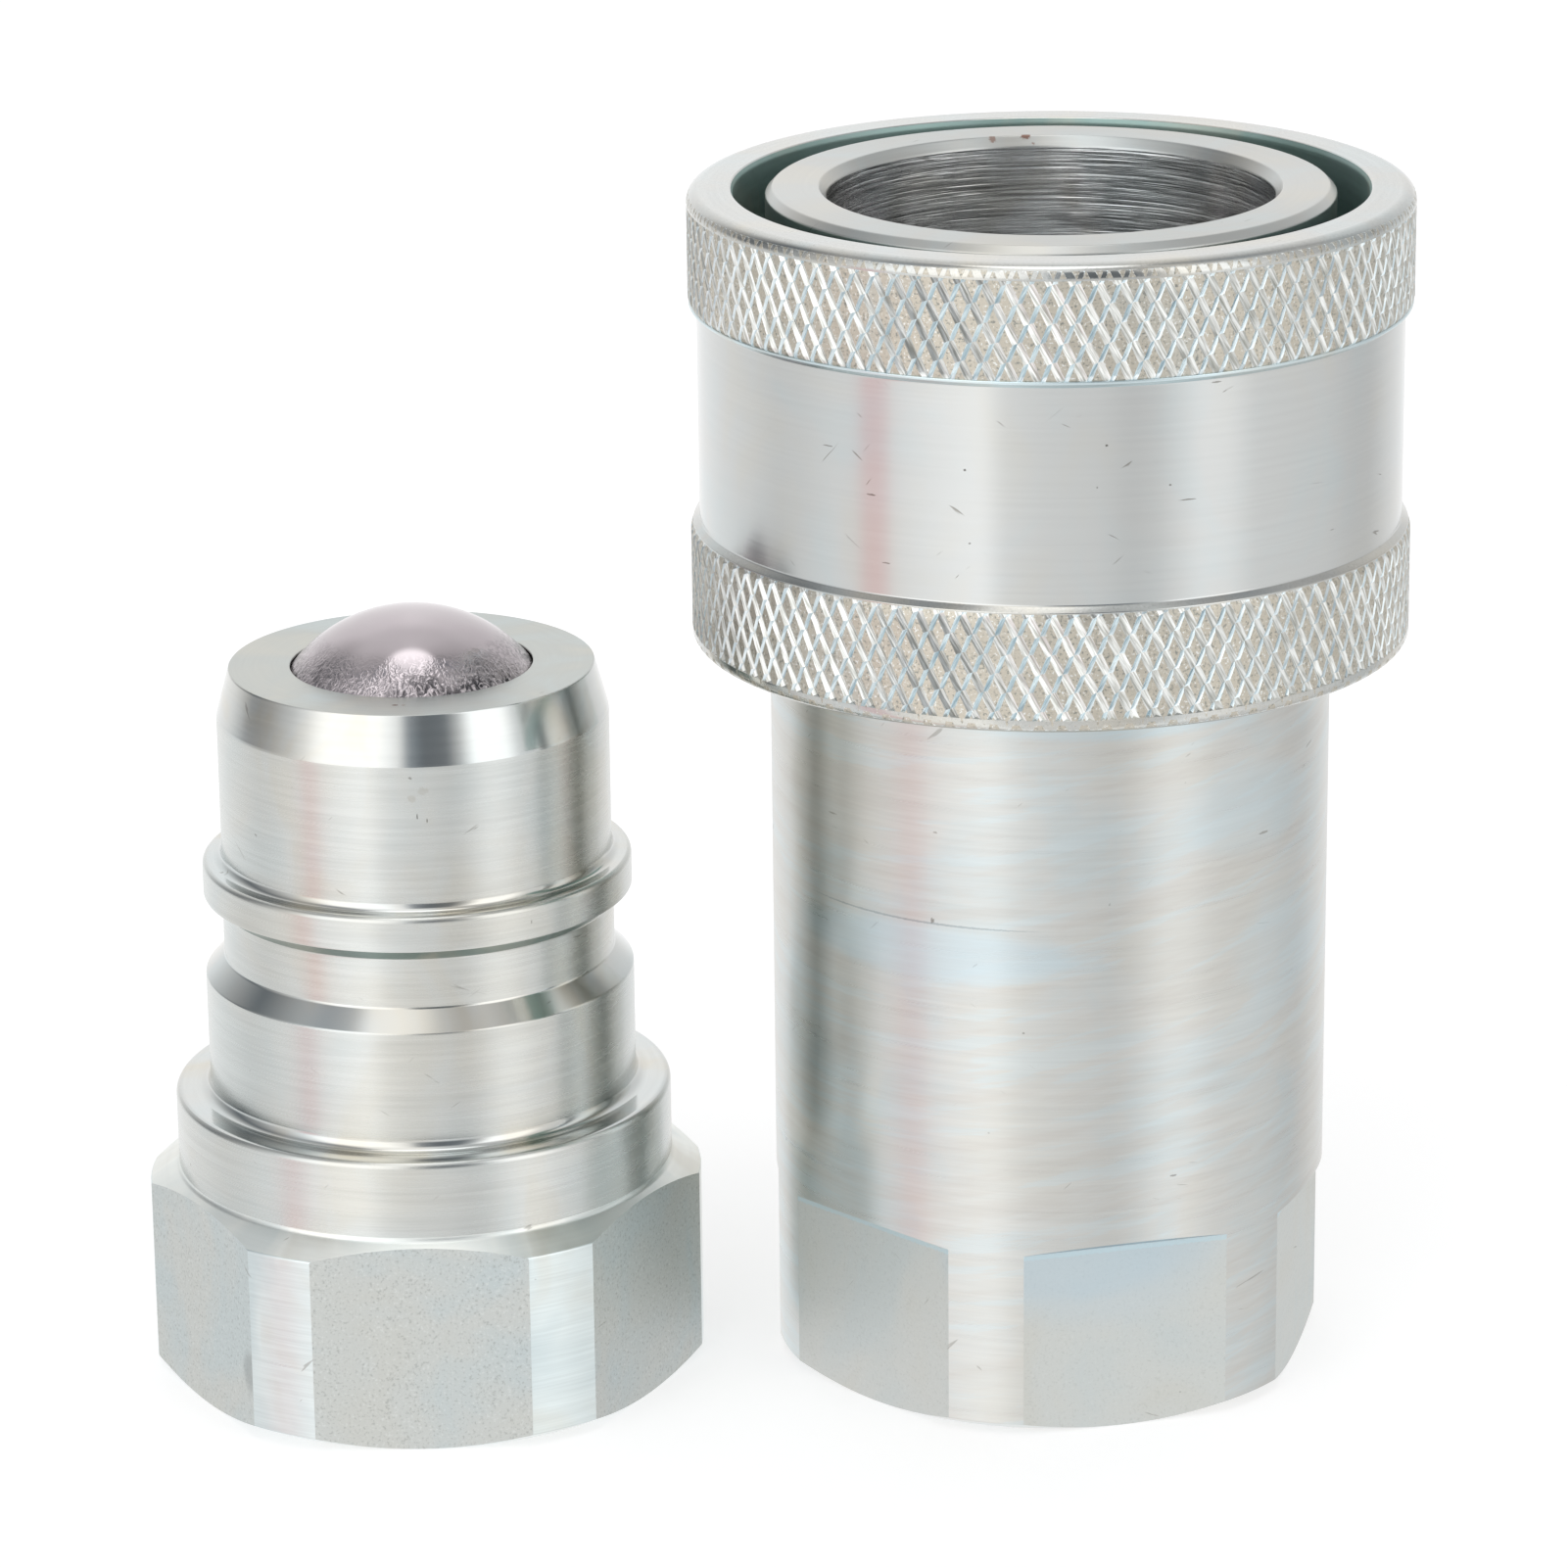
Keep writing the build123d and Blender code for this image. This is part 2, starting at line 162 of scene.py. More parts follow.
def turned_mesh(corners, steps=256, edge_break=EDGE_BREAK):
    """Spins a closed profile of (radius, height) or (radius, height, round) corners about the axis."""
    bm = bmesh.new()
    verts = [bm.verts.new((corner[0], 0, corner[1])) for corner in corners]
    for start, end in zip(verts, verts[1:] + verts[:1]):
        bm.edges.new((start, end))
    for vert, corner in zip(verts, corners):
        rounding = corner[2] if len(corner) == 3 else edge_break
        if rounding:
            bmesh.ops.bevel(bm, geom=[vert], offset=rounding, offset_type="OFFSET", profile=0.5,
                            segments=6 if rounding > FINE_ROUND else 2, affect="VERTICES", material=-1)
    # A short face beside each corner keeps the rounded shading off the walls
    for edge in [edge for edge in bm.edges if edge.calc_length() > LONG_WALL]:
        start, end = edge.verts
        length = edge.calc_length()
        bmesh.utils.edge_split(edge, start, HOLDING_FACE / length)
        bmesh.utils.edge_split(edge, end, HOLDING_FACE / (length - HOLDING_FACE))
    bmesh.ops.spin(bm, geom=bm.verts[:] + bm.edges[:], cent=(0, 0, 0), axis=(0, 0, 1),
                   angle=2 * pi, steps=steps, use_merge=True)
    bmesh.ops.remove_doubles(bm, verts=bm.verts, dist=1e-5)
    return bm


def carved(bm, name, slots, cutters, slot_of):
    """Makes a turned mesh a piece with the cutter objects cut out of it. Cut faces take the cutter's slot
    number, and slot_of then gives each face its own from its middle in mm and the number it has."""
    piece = finish_mesh(bm, name)
    for slot_number in range(slots):
        piece.data.materials.append(None)
    for cutter in cutters:
        cut = piece.modifiers.new("cut", "BOOLEAN")
        cut.object = cutter
        cut.solver = "EXACT"
    seen = piece.evaluated_get(bpy.context.evaluated_depsgraph_get())
    cut_mesh = bpy.data.meshes.new_from_object(seen)
    piece.modifiers.clear()
    piece.data = cut_mesh
    for cutter in cutters:
        bpy.data.objects.remove(cutter)
    bm = bmesh.new()
    bm.from_mesh(cut_mesh)
    bmesh.ops.remove_doubles(bm, verts=bm.verts, dist=1e-8)
    for face in bm.faces:
        face.material_index = slot_of(face.calc_center_median() / MM, face.material_index)
    shade_edges(bm, SHARP_ANGLE)
    bm.to_mesh(cut_mesh)
    bm.free()
    return piece


def place(piece, body, slot, finishes, *nodes):
    """Gives a piece its finishes, its body and the CAD nodes that it stands for. Its slot argument is not used."""
    for index, finish in enumerate(finishes):
        if index < len(piece.data.materials):
            piece.data.materials[index] = finish
        else:
            piece.data.materials.append(finish)
    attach(piece, body)
    if nodes:
        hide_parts(*nodes)


# ---------------------------------------------------------------- socket bodies

def flat_cutter(angle):
    """A wrench flat's cutter with the sloped run-out that the milling cutter leaves; its slot number is 1."""
    flat_r, outer_r, run_out_top, width = ACROSS_FLATS / 2, 29.15, 18.06, 40.0
    bm = bmesh.new()
    side = [(flat_r, -1), (outer_r, -1), (outer_r, run_out_top), (flat_r, FLAT_TOP)]
    face = bm.faces.new([bm.verts.new((r, -width / 2, z)) for r, z in side])
    grown = bmesh.ops.extrude_face_region(bm, geom=[face])
    bmesh.ops.translate(bm, vec=(0, width, 0), verts=only(bmesh.types.BMVert, grown["geom"]))
    for face in bm.faces:
        face.material_index = 1
    turn_mesh(bm, angle, "Z")
    cutter = finish_mesh(bm, "flat_cutter")
    cutter.data.materials.append(None)
    cutter.data.materials.append(None)
    return cutter


def hole_cutter(angle):
    """A radial cutter for one locking ball's hole in the cage."""
    length, middle_r = 8, 14.5
    bm = bmesh.new()
    bmesh.ops.create_cone(bm, cap_ends=True, segments=48, radius1=LOCK_HOLE_R, radius2=LOCK_HOLE_R, depth=length)
    turn_mesh(bm, 90, "Y")
    bmesh.ops.translate(bm, vec=(middle_r, 0, LOCK_HEIGHT), verts=bm.verts)
    turn_mesh(bm, angle, "Z")
    return finish_mesh(bm, "hole_cutter")


def socket_rear():
    """The rear body: slot 0 is turned, 1 the milled flats, 2 their sloped run-outs, in painted shade along
    the flats' top edges, and 3 the port.
    """
    port_foot, port_reach, chamber_r, relief_r = 18.13, 10.7, 10.2, THREAD_ROOT_R - 0.9
    bm = turned_mesh([
        (PORT_MOUTH_R, 0, PORT_EDGE), (13.45, 0, PORT_EDGE), (BODY_R, 0.65, PORT_EDGE), (BODY_R, 10.9, 0),
        (BODY_R, REAR_BODY_TOP), (STEM_R, REAR_BODY_TOP), (STEM_R, 31.3), (chamber_r, 31.3),
        (chamber_r, port_foot), (relief_r, port_foot), (relief_r, 17.2), (THREAD_ROOT_R, 16.4),
        (THREAD_ROOT_R, PORT_CHAMFER),
    ])

    def slot_of(centre, own):
        if own == 1 and centre.z > FLAT_TOP:
            return 2
        return 3 if centre.xy.length < port_reach else own

    cutters = [flat_cutter(FIRST_SOCKET_FLAT + 60 * index) for index in range(6)]
    return carved(bm, "socket_rear_turned", 4, cutters, slot_of)


def socket_front():
    """The nose, cage and stem: slot 0 is the nose ring, 1 the mouth's bore and 2 the outer walls."""
    bore_r, groove_r, nose_top, flange_foot = 10.3, 12.3, 63.05, 57.5
    bm = turned_mesh([
        (STEM_R, 31.5), (STEM_R, 32.7), (11.1, 32.7), (11.1, 34.4), (STEM_R, 34.4), (STEM_R, REAR_BODY_TOP),
        (CAGE_R, REAR_BODY_TOP), (CAGE_R, flange_foot), (BODY_R, flange_foot), (BODY_R, 62.675), (14.2, nose_top),
        (11.835, nose_top), (MOUTH_R, 62.52), (MOUTH_R, 51.057), (bore_r, 50.407), (bore_r, 48.307),
        (groove_r, 48.307), (groove_r, 44.407), (bore_r, 44.407), (bore_r, 43.207), (9.7, 41.007),
        (SEAT_R, 41.007), (SEAT_R, 40.857), (PASSAGE_R, 37.287), (PASSAGE_R, 31.5),
    ], edge_break=0.05)

    def slot_of(centre, own):
        if centre.xy.length < 12.0:
            return 1 if centre.z < 62.45 else own
        return 2 if centre.xy.length > 12.0 and centre.z < 62.6 else own

    return carved(bm, "socket_front_turned", 3, [hole_cutter(angle) for angle in LOCK_ANGLES], slot_of)


# ---------------------------------------------------------------- sleeve

RIM_ROUND = 0.68
FOOT_ROUND = 0.5
SLEEVE_TOP = 63.06
SLEEVE_FOOT = 39.4
UPPER_KNURL_FOOT = 56.9
LOWER_KNURL_TOP = 45.55
UPPER_RING_FOOT = UPPER_KNURL_FOOT + 0.34
LOWER_RING_TOP = LOWER_KNURL_TOP - 0.02


def rounded_reach(height, end, rounding):
    """The radius that a rounded end leaves of the knurl at a height, from the end's own height."""
    inside = rounding - abs(end - height)
    if inside <= 0:
        return KNURL_R
    return KNURL_R - rounding + sqrt(max(rounding ** 2 - inside ** 2, 0))


def knurled_ring(name, foot, top, foot_round, top_round):
    """A closed ring of raised diamonds between two heights: slot 0 is the lands, 1 the wide grooves and 2
    the narrow ones. The ends fade into the rounded or sloped edges."""
    root_r = KNURL_R - KNURL_DEPTH
    rows = ceil((top - foot) / KNURL_CELL_HEIGHT) + 2
    bm = bmesh.new()
    bmesh.ops.create_grid(bm, x_segments=KNURL_GROOVES, y_segments=rows, size=0.5)
    bmesh.ops.poke(bm, faces=bm.faces[:])
    middle = (foot + top) / 2
    for vert in bm.verts:
        turn = vert.co.x * 2 * pi
        height = middle + vert.co.y * rows * KNURL_CELL_HEIGHT
        vert.co = (root_r * cos(turn), root_r * sin(turn), height)
    bmesh.ops.remove_doubles(bm, verts=bm.verts, dist=SAME_PLACE)
    level_or_upright = [e for e in bm.edges if not e.is_boundary and (
        abs(e.verts[0].co.z - e.verts[1].co.z) < SAME_PLACE
        or (e.verts[0].co.xy - e.verts[1].co.xy).length < SAME_PLACE)]
    bmesh.ops.dissolve_edges(bm, edges=level_or_upright)
    bmesh.ops.recalc_face_normals(bm, faces=bm.faces)
    first = bm.faces[:][0]
    if first.normal.xy.dot(first.calc_center_median().xy) < 0:
        bmesh.ops.reverse_faces(bm, faces=bm.faces)
    lands = bm.faces[:]
    even = (WIDE_HALF_GROOVE + NARROW_HALF_GROOVE) / 2
    flanks = bmesh.ops.inset_individual(bm, faces=lands, thickness=even, depth=KNURL_DEPTH)["faces"]
    along_wide = (KNURL_HALF_CELL - NARROW_HALF_GROOVE) / (KNURL_HALF_CELL - even)
    along_narrow = (KNURL_HALF_CELL - WIDE_HALF_GROOVE) / (KNURL_HALF_CELL - even)
    for land in lands:
        centre = land.calc_center_median()
        round_way = Vector((-centre.y, centre.x, 0)).normalized()
        for vert in land.verts:
            aside, up = (vert.co - centre).dot(round_way), vert.co.z - centre.z
            down_right, up_right = aside - up * KNURL_SLOPE, aside + up * KNURL_SLOPE
            new_aside = (along_wide * down_right + along_narrow * up_right) / 2
            new_up = (along_narrow * up_right - along_wide * down_right) / 2 / KNURL_SLOPE
            vert.co += round_way * (new_aside - aside) + Vector((0, 0, new_up - up))
    bm.normal_update()
    for face in flanks:
        centre = face.calc_center_median()
        round_way = Vector((-centre.y, centre.x, 0)).normalized()
        face.material_index = 1 if face.normal.dot(round_way) * face.normal.z > 0 else 2
    levels = [foot, top]
    for end, rounding, inward in ((foot, foot_round, 1), (top, top_round, -1)):
        if rounding:
            start = rounding - sqrt(rounding ** 2 - (rounding - KNURL_DEPTH) ** 2)
            levels[0 if inward > 0 else 1] = end + inward * start
            levels += [end + inward * (start + (rounding - start) * step / 5) for step in range(1, 6)]
        else:
            levels += [end + inward * KNURL_FADE * step / 3 for step in (1, 2, 3)]
    planes = [(levels[0], -1, True), (levels[1], 1, True)] + [(level, 1, False) for level in levels[2:]]
    for level, normal, clear in planes:
        bmesh.ops.bisect_plane(bm, geom=whole(bm), plane_co=(0, 0, level), plane_no=(0, 0, normal),
                               clear_outer=clear)
    for vert in bm.verts:
        reach = KNURL_R
        for end, rounding in ((foot, foot_round), (top, top_round)):
            if rounding:
                reach = min(reach, rounded_reach(vert.co.z, end, rounding))
            else:
                reach = min(reach, root_r + abs(vert.co.z - end) / KNURL_FADE * KNURL_DEPTH)
        radius = vert.co.xy.length
        if radius > reach:
            vert.co.x *= reach / radius
            vert.co.y *= reach / radius
    # The ring's inner wall stands just inside the sleeve's core
    inner = []
    for level in levels[:2]:
        loop = [e for e in bm.edges if e.is_boundary and all(abs(v.co.z - level) < SAME_PLACE for v in e.verts)]
        grown = bmesh.ops.extrude_edge_only(bm, edges=loop)["geom"]
        bmesh.ops.scale(bm, vec=(0.985, 0.985, 1), verts=only(bmesh.types.BMVert, grown))
        inner += only(bmesh.types.BMEdge, grown)
    bmesh.ops.bridge_loops(bm, edges=inner)
    return finish_mesh(bm, name, sharp_angle=20)


def sleeve_core():
    """The sleeve without its diamonds: slot 0 is the smooth band, 1 the rim and foot, 2 the inside, in the
    gap's painted shade, 3 the smooth edge under the upper knurl and 4 the slope above the lower one."""
    under = KNURL_R - KNURL_DEPTH - 0.02
    rim_r, band_r, edge_r, foot_r, chamber_r, land_r, mouth_r = 16.35, 18.15, 18.56, 14.65, 15.1, 13.62, 16.225
    land_top = 55.45
    bm = turned_mesh([
        (rim_r, SLEEVE_TOP), (KNURL_R, SLEEVE_TOP, RIM_ROUND), (KNURL_R, 62.3, 0), (under, 62.25, 0),
        (under, 57.32, 0), (edge_r, 57.28, 0.02), (edge_r, 57.14, 0.04), (band_r, UPPER_KNURL_FOOT),
        (band_r, LOWER_KNURL_TOP + 0.3), (18.5, LOWER_KNURL_TOP + 0.05, 0.04),
        (under, LOWER_KNURL_TOP - 0.1, 0.02), (under, 40.2, 0), (KNURL_R, 40.1, 0),
        (KNURL_R, SLEEVE_FOOT, FOOT_ROUND), (foot_r, SLEEVE_FOOT), (foot_r, 40.9), (chamber_r, 40.9),
        (chamber_r, LAND_FOOT), (land_r, LAND_FOOT), (land_r, land_top),
        (mouth_r, 58.055), (mouth_r, 62.81),
    ])
    for face in bm.faces:
        centre = face.calc_center_median()
        if centre.z > 62.0 and centre.xy.length > 16.3 or centre.z < 40.5 and centre.xy.length > 17.0:
            face.material_index = 1
        elif centre.xy.length < 17.0:
            face.material_index = 2
        elif UPPER_KNURL_FOOT < centre.z < 57.31:
            face.material_index = 3
        elif LOWER_KNURL_TOP - 0.05 < centre.z < LOWER_KNURL_TOP + 0.3 and centre.xy.length > 18.16:
            face.material_index = 4
    return finish_mesh(bm, "sleeve_turned")


# ---------------------------------------------------------------- plug

def plug_turned():
    """The plug's body: slot 0 is turned, 1 the drawn hexagon's faces, 2 its turned corners, 3 the burnished
    cones and coves, 4 the faced nose, 5 the hexagon's cone, in painted light, and 6 the collar's underside,
    in painted shade."""
    cone_top, nose_r, bore_r, ring_r = 11.4, 9.5, 9.4, 9.95
    cone_foot = cone_top - (CORNER_R - SHOULDER_R) * tan(radians(30))
    bm = turned_mesh([
        (PORT_MOUTH_R, 0, PORT_EDGE), (13.45, 0, PORT_EDGE), (CORNER_R, 0.678, PORT_EDGE), (CORNER_R, cone_foot),
        (SHOULDER_R, cone_top, 0.15), (SHOULDER_R, SHOULDER_TOP, 0.35), (NECK_R, SHOULDER_TOP, 0.55),
        (NECK_R, 22.0), (GROOVE_R, 23.05), (GROOVE_R, 25.7), (10.95, COLLAR_FOOT), (COLLAR_R, COLLAR_FOOT),
        (COLLAR_R, COLLAR_TOP, 0.3), (PLUG_NOSE_R, COLLAR_TOP, 0.45), (PLUG_NOSE_R, 35.95, 0.12),
        (nose_r, PLUG_TOP), (SEAT_R, PLUG_TOP), (SEAT_R, 38.35), (PASSAGE_R, 34.78), (PASSAGE_R, 16.84),
        (THREAD_CREST_R, 16.84), (THREAD_CREST_R, 15.62), (ring_r, 15.62), (ring_r, 14.58), (bore_r, 14.58),
        (bore_r, 14.3), (THREAD_ROOT_R, 13.4), (THREAD_ROOT_R, PORT_CHAMFER),
    ], steps=252)
    for face in bm.faces:
        centre = face.calc_center_median()
        height, radius = centre.z, centre.xy.length
        if height > 38.46 and radius < nose_r:
            face.material_index = 4
        elif height > 35.9 and radius > 9.4 or 22.0 < height < 23.1 and radius > 10.2:
            face.material_index = 3
        elif 28.24 < height < 28.72 and radius > 10.15 or 15.6 < height < 16.25 and radius > 11.2:
            face.material_index = 3
        elif cone_foot + 0.03 < height < 11.6 and radius > 13.0:
            face.material_index = 5
        # The collar's sloped underside takes slot 6, whose dark teal is painted shade
        elif 25.72 < height < 26.39 and radius > 10.26:
            face.material_index = 6
        elif height < 11.38 and radius > 10.6:
            face.material_index = 2
    for index in range(6):
        angle = radians(FIRST_PLUG_FLAT + 60 * index)
        normal = Vector((cos(angle), sin(angle), 0))
        cut = bmesh.ops.bisect_plane(bm, geom=whole(bm), plane_co=normal * ACROSS_FLATS / 2, plane_no=normal,
                                     clear_outer=True)
        rim = only(bmesh.types.BMEdge, cut["geom_cut"])
        for face in bmesh.ops.edgeloop_fill(bm, edges=rim, mat_nr=1)["faces"]:
            face.material_index = 1
    bmesh.ops.translate(bm, vec=(PLUG_X, 0, 0), verts=bm.verts)
    return finish_mesh(bm, "plug_turned")


# ---------------------------------------------------------------- inner pieces

STEPS_A_TURN = 72


def port_thread(name, centre_x, length):
    """The crests of a right-hand internal pipe thread, in from the port's chamfer."""
    turns = ceil(length / THREAD_PITCH)
    half_root, half_crest, sunk_r = THREAD_PITCH / 2 * 0.93, 0.16, THREAD_ROOT_R + 0.15
    bm = bmesh.new()
    profile = [(sunk_r, -half_root), (sunk_r, half_root), (THREAD_CREST_R, half_crest),
               (THREAD_CREST_R, -half_crest)]
    face = bm.faces.new([bm.verts.new((r, 0, z)) for r, z in profile])
    bmesh.ops.spin(bm, geom=[face], cent=(0, 0, 0), axis=(0, 0, 1), angle=2 * pi * turns,
                   dvec=(0, 0, THREAD_PITCH / STEPS_A_TURN), steps=turns * STEPS_A_TURN)
    for level, normal in ((PORT_CHAMFER, -1), (length, 1)):
        cut = bmesh.ops.bisect_plane(bm, geom=whole(bm), plane_co=(0, 0, level), plane_no=(0, 0, normal),
                                     clear_outer=True)
        bmesh.ops.holes_fill(bm, edges=only(bmesh.types.BMEdge, cut["geom_cut"]))
    for vert in bm.verts:
        radius = vert.co.xy.length
        reach = max(radius, min(PORT_MOUTH_R - vert.co.z, THREAD_ROOT_R + 0.05))
        vert.co.x *= reach / radius
        vert.co.y *= reach / radius
    bmesh.ops.translate(bm, vec=(centre_x, 0, 0), verts=bm.verts)
    return finish_mesh(bm, name, sharp_angle=40)


def round_section(mean_r, section, height, segments, filled):
    """The round section of a wire or a seal, standing beside the axis."""
    bm = bmesh.new()
    bmesh.ops.create_circle(bm, cap_ends=filled, segments=segments, radius=section / 2)
    turn_mesh(bm, 90, "X")
    bmesh.ops.translate(bm, vec=(mean_r, 0, height), verts=bm.verts)
    return bm


def wound_spring(name, centre_x, foot, top, mean_r):
    """A compression spring of round wire whose first and last turns lie closed."""
    wire, active_turns, end_turns = 1.0, 2.7, 0.9
    bm = round_section(mean_r, wire, foot + wire / 2, 20, True)
    end_lift = end_turns * wire
    stages = [(end_turns, end_lift), (active_turns, top - foot - wire - 2 * end_lift), (end_turns, end_lift)]
    last = whole(bm)
    for turns, lift in stages:
        steps = ceil(turns * STEPS_A_TURN)
        last = bmesh.ops.spin(bm, geom=last, cent=(0, 0, 0), axis=(0, 0, 1), angle=2 * pi * turns,
                              dvec=(0, 0, lift / steps), steps=steps)["geom_last"]
    bmesh.ops.translate(bm, vec=(centre_x, 0, 0), verts=bm.verts)
    return finish_mesh(bm, name, sharp_angle=60)


def moulded_ring(name, mean_r, section, height):
    """An O-ring."""
    bm = round_section(mean_r, section, height, 32, False)
    bmesh.ops.spin(bm, geom=bm.verts[:] + bm.edges[:], cent=(0, 0, 0), axis=(0, 0, 1),
                   angle=2 * pi, steps=128, use_merge=True)
    return finish_mesh(bm, name, sharp_angle=80)


def steel_ball(name, centre, radius, rings=96):
    """A ball whose poles stand on its own axis."""
    bm = bmesh.new()
    bmesh.ops.create_uvsphere(bm, u_segments=2 * rings, v_segments=rings, radius=radius)
    bmesh.ops.translate(bm, vec=centre, verts=bm.verts)
    return finish_mesh(bm, name, sharp_angle=80)


# ---------------------------------------------------------------- finishes

def add(tree, kind, inputs=None, **settings):
    """Adds a node: settings are its own, and inputs are values or the sockets that are linked to it."""
    made = tree.nodes.new(kind)
    for key, value in settings.items():
        setattr(made, key, value)
    for key, value in (inputs or {}).items():
        if isinstance(value, bpy.types.NodeSocket):
            tree.links.new(value, made.inputs[key])
        else:
            made.inputs[key].default_value = value
    return made


def new_finish(name):
    """A material, and its empty tree."""
    finish = bpy.data.materials.new(name)
    finish.use_nodes = True
    finish.node_tree.nodes.clear()
    return finish, finish.node_tree


def coat(tree, inputs):
    """Ends a material's tree with its Principled shader."""
    shader = add(tree, "ShaderNodeBsdfPrincipled", inputs)
    add(tree, "ShaderNodeOutputMaterial", {"Surface": shader.outputs[0]})


def tinted(tree, colour, tint, pattern, start, full, strength=1.0, **settings):
    """Mixes a tint into a colour, from none where the pattern is at start to its strength at full."""
    share = add(tree, "ShaderNodeMapRange", {"Value": pattern, "From Min": start, "From Max": full,
                                             "To Min": 0.0, "To Max": strength}, **settings).outputs[0]
    return add(tree, "ShaderNodeMixRGB", {"Fac": share, "Color1": colour, "Color2": linear(tint)}).outputs[0]


def about_axis(tree, centre_x):
    """Sockets in mm about a half's axis: the point, its radius, its height, and its direction from the axis."""
    place_at = add(tree, "ShaderNodeTexCoord").outputs["Object"]
    point = add(tree, "ShaderNodeMapping", {"Vector": place_at, "Location": (-centre_x, 0, 0),
                                            "Scale": (1000, 1000, 1000)}).outputs[0]
    height = add(tree, "ShaderNodeSeparateXYZ", {0: point}).outputs["Z"]
    level = add(tree, "ShaderNodeVectorMath", {0: point, 1: (1, 1, 0)}, operation="MULTIPLY").outputs[0]
    radius = add(tree, "ShaderNodeVectorMath", {0: level}, operation="LENGTH").outputs["Value"]
    outward = add(tree, "ShaderNodeVectorMath", {0: level}, operation="NORMALIZE").outputs[0]
    return point, radius, height, outward


def along_turning(tree, radius, height, outward, round_scale):
    """A vector that changes slowly round the axis and fast across the tool marks, on walls and end faces."""
    across = add(tree, "ShaderNodeMath", {0: height, 1: radius}, operation="ADD").outputs[0]
    lift = add(tree, "ShaderNodeCombineXYZ", {"Z": across}).outputs[0]
    return add(tree, "ShaderNodeVectorMath", {0: outward, 1: (round_scale, round_scale, 0), 2: lift},
               operation="MULTIPLY_ADD").outputs[0]


def stained(tree, colour, point, spots):
    """Mixes spots with ragged outlines into a colour: each is its centre and half sizes in mm, its colour and
    its strength."""
    ragged = add(tree, "ShaderNodeTexNoise", {"Vector": point, "Scale": 9.0, "Detail": 2.0}).outputs["Color"]
    ragged = add(tree, "ShaderNodeVectorMath", {0: ragged, 1: (0.5, 0.5, 0.5)}, operation="SUBTRACT").outputs[0]
    for centre, half_sizes, spot_colour, strength in spots:
        uneven = [min(0.3, 1.5 * half) for half in half_sizes]
        moved = add(tree, "ShaderNodeVectorMath", {0: point, 1: centre}, operation="SUBTRACT").outputs[0]
        moved = add(tree, "ShaderNodeVectorMath", {0: ragged, 1: uneven, 2: moved},
                    operation="MULTIPLY_ADD").outputs[0]
        in_halves = add(tree, "ShaderNodeVectorMath", {0: moved, 1: half_sizes}, operation="DIVIDE").outputs[0]
        reach = add(tree, "ShaderNodeVectorMath", {0: in_halves}, operation="LENGTH").outputs["Value"]
        colour = tinted(tree, colour, spot_colour, reach, 1.1, 0.7, strength, interpolation_type="SMOOTHSTEP")
    return colour


